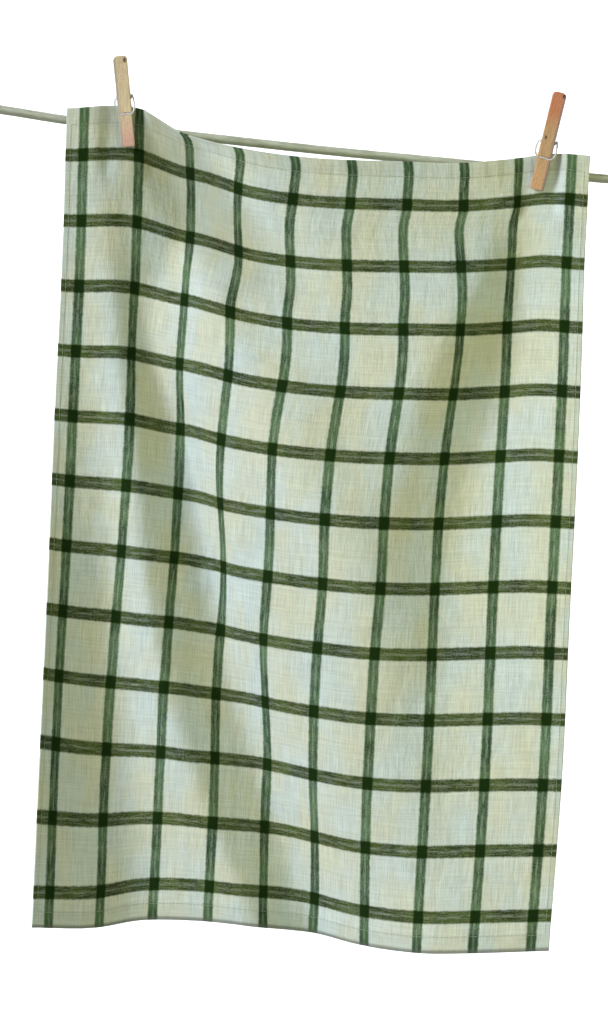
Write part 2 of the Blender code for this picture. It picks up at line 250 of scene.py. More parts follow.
def piece(
    name: str, mesh: Mesh, material: Material, replaces: Sequence[str] = ()
) -> bpy.types.Object:
    """An object of this mesh, carried to the model's frame, that rides on the model.

    Args:
        name: The piece's name.
        mesh: Its mesh, in the towel's frame.
        material: Its material.
        replaces: The model's nodes that it stands for.

    Returns:
        The object, at the origin, with its surface places in the UV map "place". The last face of
        a round ends at a whole turn, so that no pattern runs backwards there.
    """
    data = bpy.data.meshes.new(name)
    data.from_pydata((mesh.points + HANG).tolist(), [], mesh.faces)
    corners = np.empty(len(data.loops), np.int32)
    data.loops.foreach_get("vertex_index", corners)
    starts, sizes = np.empty((2, len(data.polygons)), np.int32)
    data.polygons.foreach_get("loop_start", starts)
    data.polygons.foreach_get("loop_total", sizes)
    places = mesh.places[corners]
    places[:, 1] += np.repeat(np.maximum.reduceat(places[:, 1], starts), sizes) - places[:, 1] > 0.5
    layer = data.uv_layers.new(name="place")
    layer.uv.foreach_set("vector", places.astype(np.float32).ravel())
    data.materials.append(material)
    data.shade_smooth()
    data.update()
    made = add_object(name, data)
    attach(made, BODY)
    if replaces:
        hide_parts(*replaces)
    LOG.info("%s: %d points, %d faces", name, len(mesh.points), len(mesh.faces))
    return made


# Shader helpers ----------------------------------------------------------------------------------


@dataclass
class Net:
    """A node tree being wired: a material's, or a shared group's."""

    tree: NodeTree

    def node(self, kind: str, **settings: str | bool | NodeTree) -> Node:
        """A new node of this kind, with these settings.

        Args:
            kind: The node's type.
            settings: Its settings, by name.

        Returns:
            The node.
        """
        made = self.tree.nodes.new(kind)
        for name, value in settings.items():
            setattr(made, name, value)
        return made

    def feed(self, socket: Socket, value: Value | None) -> None:
        """Gives a socket a value, or links it to the socket that is given.

        Args:
            socket: The input.
            value: A number, colour or socket, or None to leave the input as it is.
        """
        if isinstance(value, Socket):
            self.tree.links.new(value, socket)
        elif value is not None:
            socket.default_value = value

    def fill(self, made: Node, **inputs: Value | None) -> Node:
        """Feeds the named sockets of a node, with _ for a space in a socket's name.

        Args:
            made: The node.
            inputs: The value or socket for each input.

        Returns:
            The same node.
        """
        for name, value in inputs.items():
            self.feed(made.inputs[name.replace("_", " ")], value)
        return made

    def math(self, operation: str, *values: Value) -> Socket:
        """One sum on numbers or sockets.

        Args:
            operation: Which sum.
            values: What it works on.

        Returns:
            The result.
        """
        made = self.node("ShaderNodeMath", operation=operation)
        for socket, value in zip(made.inputs, values, strict=False):
            self.feed(socket, value)
        return made.outputs[0]

    def plus(self, first: Value, second: Value) -> Socket:
        """The two added."""
        return self.math("ADD", first, second)

    def minus(self, first: Value, second: Value) -> Socket:
        """The first less the second."""
        return self.math("SUBTRACT", first, second)

    def times(self, first: Value, second: Value) -> Socket:
        """The two multiplied."""
        return self.math("MULTIPLY", first, second)

    def line(self, value: Value, slope: Value, start: Value) -> Socket:
        """A straight line: the value times the slope, plus the start."""
        return self.math("MULTIPLY_ADD", value, slope, start)

    def ramp(self, value: Value, low: Value, high: Value, start: float = 0.0, end: float = 1.0) -> Socket:
        """A smooth step of a value, from start at low to end at high.

        Args:
            value: The value.
            low: Where the step starts.
            high: Where it ends.
            start: The result up to low.
            end: The result from high on.

        Returns:
            The result.
        """
        made = self.node("ShaderNodeMapRange", interpolation_type="SMOOTHSTEP")
        self.fill(made, Value=value, From_Min=low, From_Max=high, To_Min=start, To_Max=end)
        return made.outputs[0]

    def noise(self, place: Value, scale: float = 1.0, detail: float = 2.0, rough: float = 0.5) -> Socket:
        """A noise between 0 and 1 at this place."""
        made = self.node("ShaderNodeTexNoise", noise_dimensions="3D")
        return self.fill(made, Vector=place, Scale=scale, Detail=detail, Roughness=rough).outputs["Fac"]

    def streaks(
        self, place: Sequence[Value], scales: Sequence[float], detail: float = 2.0, rough: float = 0.5
    ) -> Socket:
        """A noise at a place, of which the first numbers are each multiplied by their own scale."""
        scaled = [self.times(number, scale) for number, scale in zip(place, scales, strict=False)]
        return self.noise(self.join(*scaled, *place[len(scales) :]), 1.0, detail, rough)

    def mix(self, share: Value, first: Value, second: Value, blend_type: str = "MIX") -> Socket:
        """Two colours mixed by a share.

        Args:
            share: The second colour's share.
            first: A colour.
            second: Another.
            blend_type: How the second is laid over the first.

        Returns:
            The colour.
        """
        made = self.node("ShaderNodeMix", data_type="RGBA", blend_type=blend_type, clamp_factor=True)
        for number, value in ((0, share), (6, first), (7, second)):
            self.feed(made.inputs[number], value)
        return made.outputs[2]

    def shade(self, colour: Value, tone: Value) -> Socket:
        """A colour made lighter or darker by a tone about 1.

        Args:
            colour: The colour.
            tone: What it is multiplied by.

        Returns:
            The colour.
        """
        made = self.node("ShaderNodeVectorMath", operation="SCALE")
        self.feed(made.inputs[0], colour)
        return self.fill(made, Scale=tone).outputs[0]

    def join(self, x: Value, y: Value, z: Value = 0.0) -> Socket:
        """Three numbers as one place."""
        return self.fill(self.node("ShaderNodeCombineXYZ"), X=x, Y=y, Z=z).outputs[0]

    def split(self, place: Value) -> list[Socket]:
        """A place as its three numbers."""
        return list(self.fill(self.node("ShaderNodeSeparateXYZ"), Vector=place).outputs)

    def on_surface(self) -> Socket:
        """The piece's own surface place, from its UV map."""
        return self.node("ShaderNodeUVMap", uv_map="place").outputs["UV"]

    def in_model(self) -> Socket:
        """The place in the model's frame, in metres."""
        return self.node("ShaderNodeTexCoord").outputs["Object"]

    def group(self, tree: NodeTree, **inputs: Value) -> dict[str, Socket]:
        """The outputs of a shared group, with these inputs."""
        return self.fill(self.node("ShaderNodeGroup", node_tree=tree), **inputs).outputs

    def bump(
        self, shader: Node, height: Value, depth: float, strength: float, before: Value | None = None
    ) -> Socket:
        """A bump of this height, fed to the shader's normal.

        Args:
            shader: The material's shader.
            height: A socket, 0 to 1.
            depth: How deep 1 is, in metres.
            strength: How much of it shows.
            before: The normal of a coarser bump, if any.

        Returns:
            The normal.
        """
        made = self.node("ShaderNodeBump")
        self.fill(made, Strength=strength, Distance=depth, Height=height, Normal=before)
        self.fill(shader, Normal=made.outputs[0])
        return made.outputs[0]


def start_material(name: str) -> tuple[Material, Net, Node]:
    """A new material, its net and its shader.

    Args:
        name: The material's name.

    Returns:
        The material, the net of its tree, and its shader.
    """
    made = bpy.data.materials.new(name)
    made.use_nodes = True
    return made, Net(made.node_tree), made.node_tree.nodes["Principled BSDF"]


def new_group(
    name: str, inputs: dict[str, float | None], outputs: Sequence[str]
) -> tuple[Net, dict[str, Socket], Node]:
    """An empty shared group.

    Args:
        name: The group's name.
        inputs: Each input's name and its usual number, or None for a place.
        outputs: Each output's name.

    Returns:
        The group's net, its inputs and its output node.
    """
    tree = bpy.data.node_groups.new(name, "ShaderNodeTree")
    for label, usual in inputs.items():
        kind = "NodeSocketVector" if usual is None else "NodeSocketFloat"
        socket = tree.interface.new_socket(label, in_out="INPUT", socket_type=kind)
        if usual is not None:
            socket.default_value = usual
    for label in outputs:
        tree.interface.new_socket(label, in_out="OUTPUT", socket_type="NodeSocketFloat")
    net = Net(tree)
    return net, net.node("NodeGroupInput").outputs, net.node("NodeGroupOutput")


def thread_group() -> NodeTree:
    """Threads of a woven cloth: slubby streaks both ways, and the over and under of a plain weave.

    Returns:
        The group: in Place (m on the cloth) and Pitch (m); out Warp and Weft streaks and Weave
        height, each 0 to 1.
    """
    net, given, out = new_group("woven threads", {"Place": None, "Pitch": 0.0007}, ("Warp", "Weft", "Weave"))
    along = 45.0  # how often a slub comes along its thread
    across, down, _ = net.split(given["Place"])
    count_u, count_v = (net.math("DIVIDE", way, given["Pitch"]) for way in (across, down))
    warp = net.noise(net.join(count_u, net.times(down, along)), 0.8, 3.0, 0.6)
    weft = net.noise(net.join(net.times(across, along), count_v, 7.0), 0.8, 3.0, 0.6)
    turn_u, turn_v = (net.math("SINE", net.times(count, math.pi)) for count in (count_u, count_v))
    net.fill(out, Warp=warp, Weft=weft, Weave=net.line(net.times(turn_u, turn_v), 0.5, 0.5))
    return net.tree


def stripe_group() -> NodeTree:
    """Even stripes of dyed thread: a band round each station, with a wandering edge.

    Returns:
        The group: in At (m), First, Pitch and Width (m), Wander and Soft (m); out Band, 0 to 1, and
        Off, the distance from the band's middle in m.
    """
    usual = {"At": 0.0, "First": 0.016, "Pitch": 0.052, "Width": 0.009, "Wander": 0.0, "Soft": 0.0007}
    net, given, out = new_group("dyed stripes", usual, ("Band", "Off"))
    turns = net.plus(net.math("DIVIDE", net.minus(given["At"], given["First"]), given["Pitch"]), 0.5)
    off = net.times(net.minus(net.math("FRACT", turns), 0.5), given["Pitch"])
    reach = net.plus(net.math("ABSOLUTE", off), given["Wander"])
    half = net.times(given["Width"], 0.5)
    band = net.ramp(reach, net.minus(half, given["Soft"]), net.plus(half, given["Soft"]), 1.0, 0.0)
    net.fill(out, Band=band, Off=off)
    return net.tree


def grain_group() -> NodeTree:
    """Wood grain along z: long streaks, rings seen from the side, and small dark pores.

    Returns:
        The group: in Place (m, z along the grain) and Ring (m); out Streak, Ring and Pore, 0 to 1.
    """
    net, given, out = new_group("wood grain", {"Place": None, "Ring": 0.0016}, ("Streak", "Ring", "Pore"))
    place = net.split(given["Place"])
    drift = net.streaks(place, (260.0, 260.0, 22.0))
    rings = net.math("DIVIDE", net.line(drift, 0.006, place[0]), given["Ring"])
    wave = net.line(net.math("SINE", net.times(rings, 2 * math.pi)), 0.5, 0.5)
    streak = net.streaks(place, (2200.0, 2200.0, 90.0), 3.0, 0.6)
    pore = net.ramp(net.streaks(place, (3800.0, 3800.0, 420.0), 1.0), 0.64, 0.74)
    net.fill(out, Streak=streak, Ring=wave, Pore=pore)
    return net.tree


# Finishes ----------------------------------------------------------------------------------------


@dataclass(frozen=True)
class Cut:
    """The flat cloth: its size, and the width of its turned hems, in metres."""

    width: float = 0.500
    length: float = 0.700
    hem_side: float = 0.005
    hem_end: float = 0.015


class Stripes(NamedTuple):
    """Evenly spaced stripes: the first one's middle, their pitch and their width, in metres."""

    first: float
    pitch: float
    width: float


@dataclass(frozen=True)
class CheckLinen:
    """Yarn-dyed linen and cotton: a pale sage ground under a dark green windowpane check.

    The check comes from where a thread lies: a dyed warp gives a stripe down, a dyed weft one across,
    and where both are dyed the crossing is nearly black. Pale flecks show where an undyed thread
    passes over a dyed one. A long patch that slopes down from the left peg is darkened as painted shade.
    """

    threads: NodeTree
    stripes: NodeTree
    cut: Cut = Cut()
    warp: Stripes = Stripes(0.016, 0.052, 0.0091)
    weft: Stripes = Stripes(0.040, 0.0572, 0.0112)
    ground: Colour = srgb(202, 212, 182)
    ground_warm: Colour = srgb(207, 208, 172)
    ground_cool: Colour = srgb(198, 214, 204)
    warp_green: tuple[Colour, Colour] = (srgb(32, 64, 28), srgb(76, 108, 64))
    weft_green: tuple[Colour, Colour] = (srgb(36, 54, 4), srgb(66, 84, 22))
    crossing: Colour = srgb(16, 40, 2)
    # a grey laid thinly over the hems, and strongly along the bottom edge as painted shade
    hem_grey_and_edge_shade: Colour = srgb(88, 96, 78)
    # painted shade: a slanting oval below the left peg, multiplied into the colour
    painted_shade: Colour = (0.72, 0.71, 0.62, 1.0)
    painted_shade_middle: tuple[float, float] = (0.124, 0.060)
    painted_shade_reach: tuple[float, float] = (0.125, 0.048)
    painted_shade_slope_deg: float = 36.0

    def material(self) -> Material:
        """The cloth's material, from its place map in metres.

        Returns:
            The material.
        """
        made, net, shader = start_material("check linen")
        place = net.on_surface()
        at = tuple(net.split(place)[:2])
        threads = net.group(self.threads, Place=place)
        hems = self.hem_share(net, *at)
        colour = self.colour(net, at, threads, hems)
        # Painted shade: a slanting oval below the left peg darkens the colour.
        colour = net.mix(self.painted_shade_share(net, *at), colour, self.painted_shade, "MULTIPLY")
        colour = net.mix(net.times(hems, 0.08), colour, self.hem_grey_and_edge_shade)
        # Painted shade: a dark grey line along the bottom edge, where the hem's rim turns down.
        last = net.ramp(net.minus(self.cut.length, at[1]), 0.0012, 0.0040, 0.70, 0.0)
        colour = net.mix(last, colour, self.hem_grey_and_edge_shade)
        rough = net.line(threads["Warp"], 0.12, 0.80)
        net.fill(shader, Base_Color=colour, Roughness=rough, Specular_IOR_Level=0.08, Sheen_Weight=0.02)
        self.relief(net, shader, at, threads)
        return made

    def bands(self, net: Net, across: Socket, down: Socket) -> list[tuple[Socket, Socket]]:
        """How much dyed warp, then dyed weft, lies at each place.

        Args:
            net: The material's net.
            across: The place across the flat cloth, in metres.
            down: The place down it, in metres.

        Returns:
            For the warp and for the weft: the band, and its paler middle, each 0 to 1.
        """
        found = []
        for at, along, row in ((across, down, self.warp), (down, across, self.weft)):
            wander = net.times(net.minus(net.streaks((along, at), (260.0, 40.0)), 0.5), 0.0014)
            sizes = {"First": row.first, "Pitch": row.pitch, "Width": row.width, "Soft": 0.0010}
            band = net.group(self.stripes, At=at, Wander=wander, **sizes)
            middle = net.ramp(net.math("ABSOLUTE", band["Off"]), 0.0004, 0.0017, 1.0, 0.0)
            broken = net.ramp(net.streaks((along, at), (95.0, 500.0)), 0.34, 0.58)
            found.append((band["Band"], net.times(middle, broken)))
        return found

    def colour(
        self, net: Net, at: tuple[Socket, Socket], threads: dict[str, Socket], hems: Socket
    ) -> Socket:
        """The cloth's colour: ground, then each stripe with its pale flecks, then the crossings.

        Args:
            net: The material's net.
            at: The place on the cloth, across and down, in metres.
            threads: The outputs of the threads' group.
            hems: 1 on the hems, where the doubled cloth shows fewer flecks.

        Returns:
            The colour's socket.
        """
        patch = net.ramp(net.streaks(at, (26.0, 14.0), 3.0), 0.32, 0.68)
        cloth = net.mix(0.35, net.mix(patch, self.ground_warm, self.ground_cool), self.ground)
        streak = net.plus(net.times(threads["Warp"], 0.62), net.times(threads["Weft"], 0.38))
        cloth = net.shade(cloth, net.ramp(streak, 0.30, 0.70, 0.80, 1.13))
        bands = self.bands(net, *at)
        flecks = net.streaks(at, (620.0, 760.0), 2.0, 0.55)
        tone = net.ramp(net.streaks((*at, 9.0), (34.0, 26.0), 3.0, 0.6), 0.34, 0.66)
        along = ((900.0, 70.0), (70.0, 900.0))
        for (band, middle), scales, greens in zip(
            bands, along, (self.warp_green, self.weft_green), strict=True
        ):
            bare = net.plus(net.times(flecks, 0.5), net.times(net.streaks((*at, 3.0), scales), 0.5))
            cover = net.ramp(net.minus(bare, net.times(hems, 0.12)), 0.42, 0.66, 0.99, 0.78)
            cover = net.times(cover, net.line(middle, -0.20, 1.0))
            cloth = net.mix(net.times(band, cover), cloth, net.mix(tone, *greens))
        both = net.times(bands[0][0], bands[1][0])
        return net.mix(net.times(both, 0.95), cloth, self.crossing)

    def painted_shade_share(self, net: Net, across: Socket, down: Socket) -> Socket:
        """How much painted shade lies on the cloth: 1 in the middle of a slanting oval, falling to 0 past
        its edge.

        Args:
            net: The material's net.
            across: The place across the flat cloth, in metres.
            down: The place down it, in metres.

        Returns:
            The share's socket.
        """
        turn = math.radians(self.painted_shade_slope_deg)
        right = net.minus(across, self.painted_shade_middle[0])
        below = net.minus(down, self.painted_shade_middle[1])
        axes = ((math.cos(turn), math.sin(turn)), (-math.sin(turn), math.cos(turn)))
        far = []
        for (x, y), reach in zip(axes, self.painted_shade_reach, strict=True):
            way = net.plus(net.times(right, x / reach), net.times(below, y / reach))
            far.append(net.times(way, way))
        edge = net.times(net.streaks((across, down, 5.0), (40.0, 40.0)), 0.5)
        return net.ramp(net.plus(net.plus(*far), edge), 0.35, 1.5, 1.0, 0.0)

    def hem_share(self, net: Net, across: Socket, down: Socket) -> Socket:
        """1 on the turned hems and 0 inside them.

        Args:
            net: The material's net.
            across: The place across the flat cloth, in metres.
            down: The place down it, in metres.

        Returns:
            The share's socket.
        """
        cut, soft = self.cut, 0.0004
        shares = []
        for at, span, hem in ((across, cut.width, cut.hem_side), (down, cut.length, cut.hem_end)):
            from_edge = net.math("MINIMUM", at, net.minus(span, at))
            shares.append(net.ramp(from_edge, hem - soft, hem + soft, 1.0, 0.0))
        return net.math("MAXIMUM", *shares)

    def relief(
        self, net: Net, shader: Node, at: tuple[Socket, Socket], threads: dict[str, Socket]
    ) -> None:
        """Creases, then slubs, then the weave itself, as bumps from coarse to fine.

        Args:
            net: The material's net.
            shader: Its shader.
            at: The place on the cloth, across and down, in metres.
            threads: The outputs of the threads' group.
        """
        normal = net.bump(shader, net.streaks(at, (70.0, 30.0), 4.0, 0.6), 0.0035, 0.55)
        slubs = net.plus(net.times(threads["Warp"], 0.6), net.times(threads["Weft"], 0.4))
        normal = net.bump(shader, slubs, 0.00045, 0.7, normal)
        net.bump(shader, threads["Weave"], 0.00012, 0.5, normal)


@dataclass(frozen=True)
class Rope:
    """Braided line of cotton and polyester, weathered in patches, its underside darkened as painted shade.
    """

    pale: Colour = srgb(198, 203, 176)
    dull: Colour = srgb(158, 163, 134)
    # painted shade for the underside
    under: Colour = srgb(98, 104, 78)

    def material(self) -> Material:
        """The line's material, from its place map: metres along, and turns round.

        Returns:
            The material.
        """
        made, net, shader = start_material("rope")
        along, turn, _ = net.split(net.on_surface())
        angle = net.times(turn, 2 * math.pi)
        place = (along, net.math("COSINE", angle), net.math("SINE", angle))
        fine = net.streaks(place, (900.0, 14.0, 14.0), 3.0, 0.6)
        dirt = net.ramp(net.streaks(place, (60.0,), 3.0), 0.35, 0.75)
        # Painted shade: the underside darkens towards the bottom of the rope.
        below = net.times(net.ramp(place[1], 0.25, -0.75), 0.75)
        colour = net.mix(below, net.mix(dirt, self.pale, self.dull), self.under)
        colour = net.mix(net.times(fine, 0.35), colour, self.dull)
        net.fill(shader, Base_Color=colour, Roughness=0.82, Sheen_Weight=0.1)
        net.bump(shader, fine, 0.0003, 0.6)
        return made


@dataclass(frozen=True)
class Yarn:
    """Twisted yarn: its plies wind round it, with painted shade in the grooves where they meet."""

    name: str
    colour: Colour
    # the dark colour is painted shade in the grooves where the plies meet
    dark: Colour
    lay: float  # how fast the plies wind, in radians per metre
    swing: float  # half the dark colour's share where the plies meet
    roughness: float
    depth: float

    def material(self) -> Material:
        """The yarn's material, from its place map: metres along, and turns round.

        Returns:
            The material.
        """
        made, net, shader = start_material(self.name)
        along, turn, _ = net.split(net.on_surface())
        twist = net.math("SINE", net.plus(net.times(along, self.lay), net.times(turn, 4 * math.pi)))
        # Painted shade: the dark colour lies in the grooves between the plies.
        lit = net.line(twist, self.swing, 1 - self.swing)
        net.fill(shader, Base_Color=net.mix(lit, self.dark, self.colour), Roughness=self.roughness)
        if self.depth:
            net.bump(shader, lit, self.depth, 0.7)
        return made


WAXED_TWINE = Yarn("twine", srgb(168, 160, 126), srgb(110, 102, 74), 2600.0, 0.5, 0.75, 0.0002)
SEWING_THREAD = Yarn("sewing thread", srgb(160, 170, 138), srgb(150, 160, 130), 9000.0, 0.15, 0.7, 0.0)


@dataclass(frozen=True)
class Wood:
    """Bare beech of a peg, weathered: its grain runs up the peg, its ends are dirtier, and a strip along one
    long side is painted shade.
    """

    grain: NodeTree
    slot: str
    tip: Colour
    middle: Colour
    top: Colour
    dark: Colour
    knots: tuple[Place, ...]  # each knot's place across, its height and its size
    # painted shade of a side face: its place across the peg, and its colour
    side_shade_edge: float
    side_shade: Colour
    knot: Colour = srgb(72, 46, 30)

    def material(self, name: str, foot: Place, turn: Place, length: float) -> Material:
        """The wood's material, on the model's coordinates turned to the peg's own.

        Args:
            name: The material's name.
            foot: The place of the half's tip in the model.
            turn: How the half is turned there, in radians.
            length: The half's length.

        Returns:
            The material.
        """
        made, net, shader = start_material(name)
        turned = net.node("ShaderNodeMapping", vector_type="TEXTURE")
        place = net.fill(turned, Vector=net.in_model(), Location=foot, Rotation=turn).outputs[0]
        x, _, z = net.split(place)
        grain = net.group(self.grain, Place=place)
        up = net.math("DIVIDE", z, length)
        base = net.mix(net.ramp(up, 0.02, 0.42), self.tip, self.middle)
        base = net.mix(net.ramp(up, 0.55, 0.85), base, self.top)
        base = net.mix(net.times(net.ramp(grain["Ring"], 0.35, 1.0), 0.22), base, self.dark)
        base = net.mix(net.times(net.ramp(grain["Streak"], 0.42, 0.72), 0.40), base, self.dark)
        base = net.mix(net.times(grain["Pore"], 0.55), base, self.dark)
        # Painted shade: a strip along one long edge, in the tone of a side face in shade.
        to_edge = net.math("ABSOLUTE", net.minus(x, self.side_shade_edge))
        base = net.mix(net.ramp(to_edge, 0.0008, 0.0030, 0.85, 0.0), base, self.side_shade)
        for at, height, size in self.knots:
            off_x = net.math("DIVIDE", net.minus(x, at), size)
            off_z = net.math("DIVIDE", net.minus(z, height), size * 1.6)
            off = net.math("SQRT", net.plus(net.times(off_x, off_x), net.times(off_z, off_z)))
            base = net.mix(net.ramp(off, 0.5, 1.15, 0.9, 0.0), base, self.knot)
        net.fill(shader, Base_Color=base, Roughness=net.line(grain["Streak"], 0.2, 0.5))
        net.bump(shader, net.minus(net.times(grain["Streak"], 0.7), grain["Pore"]), 0.00018, 0.7)
        return made


@dataclass(frozen=True)
class Steel:
    """Drawn spring wire, dulled by weather, with a few rust spots."""

    bright: Colour = srgb(226, 226, 222)
    rust: Colour = srgb(150, 118, 88)

    def material(self) -> Material:
        """The wire's material, from its place map: metres along, and turns round.

        Returns:
            The material.
        """
        made, net, shader = start_material("spring steel")
        place = net.split(net.on_surface())[:2]
        rusty = net.ramp(net.streaks(place, (420.0, 3.0), 3.0), 0.58, 0.70)
        net.fill(
            shader,
            Base_Color=net.mix(rusty, self.bright, self.rust),
            Metallic=net.line(rusty, -0.3, 0.45),
            Roughness=net.line(rusty, 0.25, 0.50),
        )
        net.bump(shader, net.streaks(place, (90.0, 60.0), 1.0), 0.00005, 0.5)
        return made


@dataclass(frozen=True)
class Paper:
    """The matte white sweep of the studio, clear from behind, so that it hides nothing."""

    white: Colour = (0.86, 0.86, 0.86, 1.0)
    shaded: Colour = (0.8, 0.8, 0.8, 1.0)

    def material(self) -> Material:
        """The sweep's material: white, with a slight mottle.

        Returns:
            The material.
        """
        made, net, shader = start_material("studio paper")
        mottle = net.times(net.noise(net.in_model(), 3.0, 2.0), 0.03)
        front = net.minus(1.0, net.node("ShaderNodeNewGeometry").outputs["Backfacing"])
        net.fill(shader, Base_Color=net.mix(mottle, self.white, self.shaded), Roughness=0.9, Alpha=front)
        return made


# The towel ---------------------------------------------------------------------------------------


class Fold(NamedTuple):
    """One crest or hollow that runs down the towel. Sizes in mm."""

    name: str
    bend: float  # how round it is
    across: tuple[float, ...]  # its place across the flat cloth, at each height of SECTION_DOWN
    toward: tuple[float, ...]  # how far it stands towards the viewer from the pegged corners


class Ray(NamedTuple):
    """A short ridge that runs out from a peg. Sizes in mm on the flat cloth."""

    start: tuple[float, float]
    end: tuple[float, float]
    height: float
    upper_reach: float
    lower_reach: float


class Outline(NamedTuple):
    """A point of the top edge or hem: across the flat cloth, and its height. Sizes in mm."""

    across: float
    height: float


class Lift(NamedTuple):
    """A place where the rows hang higher than even steps would put them. Sizes in mm."""

    across: float
    reach: float
    height: float
    onset: float


class Hills(NamedTuple):
    """Chance hills of the cloth: their size across and down in m, which chance, and height in mm."""

    cell: tuple[float, float]
    seed: int
    height: float

    def at(self, u: Array, v: Array) -> Array:
        """Their height at these places of the flat cloth, in metres."""
        return soft_noise(u, v, self.cell, self.seed) * self.height * MM


SECTION_DOWN = (0, 45, 100, 160, 270, 400, 540, 700)

FOLDS = (
    Fold("left edge", 6, (0, 0, 0, 0, 0, 0, 0, 0), (4, 6, 8, 10, 14, 23, 32, 36)),
    Fold("left hollow", 14, (12, 12, 16, 24, 38, 58, 76, 108), (4, 5, 6, 7, 4, -6, -12, -22)),
    Fold("peg crest", 8, (28, 26, 34, 46, 66, 92, 138, 216), (5, 7, 11, 15, 17, 18, 16, 8)),
    Fold("left valley", 12, (66, 104, 112, 80, 114, 154, 206, 276), (5, -11, -12, -8, -15, -18, -19, -27)),
    Fold("left shoulder", 14, (172, 188, 196, 140, 168, 210, 270, 338), (30, 32, 28, 24, 31, 30, 25, 5)),
    Fold("middle", 40, (250, 252, 256, 262, 268, 286, 316, 382), (30, 37, 43, 51, 58, 53, 42, 26)),
    Fold("right shoulder", 16, (404, 404, 402, 366, 338, 334, 352, 412), (10, 15, 36, 57, 62, 57, 46, 36)),
    Fold("right valley", 12, (430, 440, 438, 430, 408, 392, 396, 432), (2, 4, 8, 15, 28, 37, 42, 38)),
    Fold("right crest", 14, (478, 476, 474, 472, 462, 456, 452, 460), (8, 8, 15, 25, 39, 46, 50, 40)),
    Fold("right edge", 6, (500, 500, 500, 500, 500, 500, 500, 500), (8, 8, 17, 31, 46, 55, 57, 44)),
)

RAYS = (
    Ray((116, 96), (190, 204), 7, 20, 22),
    Ray((150, 120), (370, 480), 11, 40, 36),
)

SIDE_EDGES = (  # the left and right edge's places in x, at each height of SECTION_DOWN, in mm
    (-231.2, -230.2, -228.7, -228.0, -227.7, -225.7, -224.4, -223.3),
    (230.2, 230.2, 229.5, 229.6, 229.7, 229.0, 229.4, 226.4),
)

TOP_EDGE = (
    *(Outline(0, 0), Outline(68, 3), Outline(117, -18), Outline(165, -28.5), Outline(222, -34.5)),
    *(Outline(326, -33.5), Outline(378, -31.5), Outline(430, -24), Outline(460, -18.5), Outline(500, -19)),
)

HEM = (
    *(Outline(0, -718), Outline(70, -719), Outline(110, -713), Outline(165, -710), Outline(276, -717)),
    *(Outline(320, -723), Outline(380, -725), Outline(430, -721), Outline(500, -714.5)),
)

LIFTS = (Lift(30, 60, -4, 60), Lift(132, 44, 8, 14), Lift(190, 80, 7, 260), Lift(380, 90, 10, 200))
PINCHES_ACROSS = (0.054, 0.453)

BROAD_HILLS = Hills((0.060, 0.110), 3, 1.3)
MIDDLING_HILLS = Hills((0.024, 0.060), 5, 0.5)
FINE_HILLS = Hills((0.009, 0.022), 8, 0.14)
END_PUCKERS = Hills((0.007, 0.200), 11, 0.35)
SIDE_PUCKERS = Hills((0.200, 0.009), 12, 0.25)


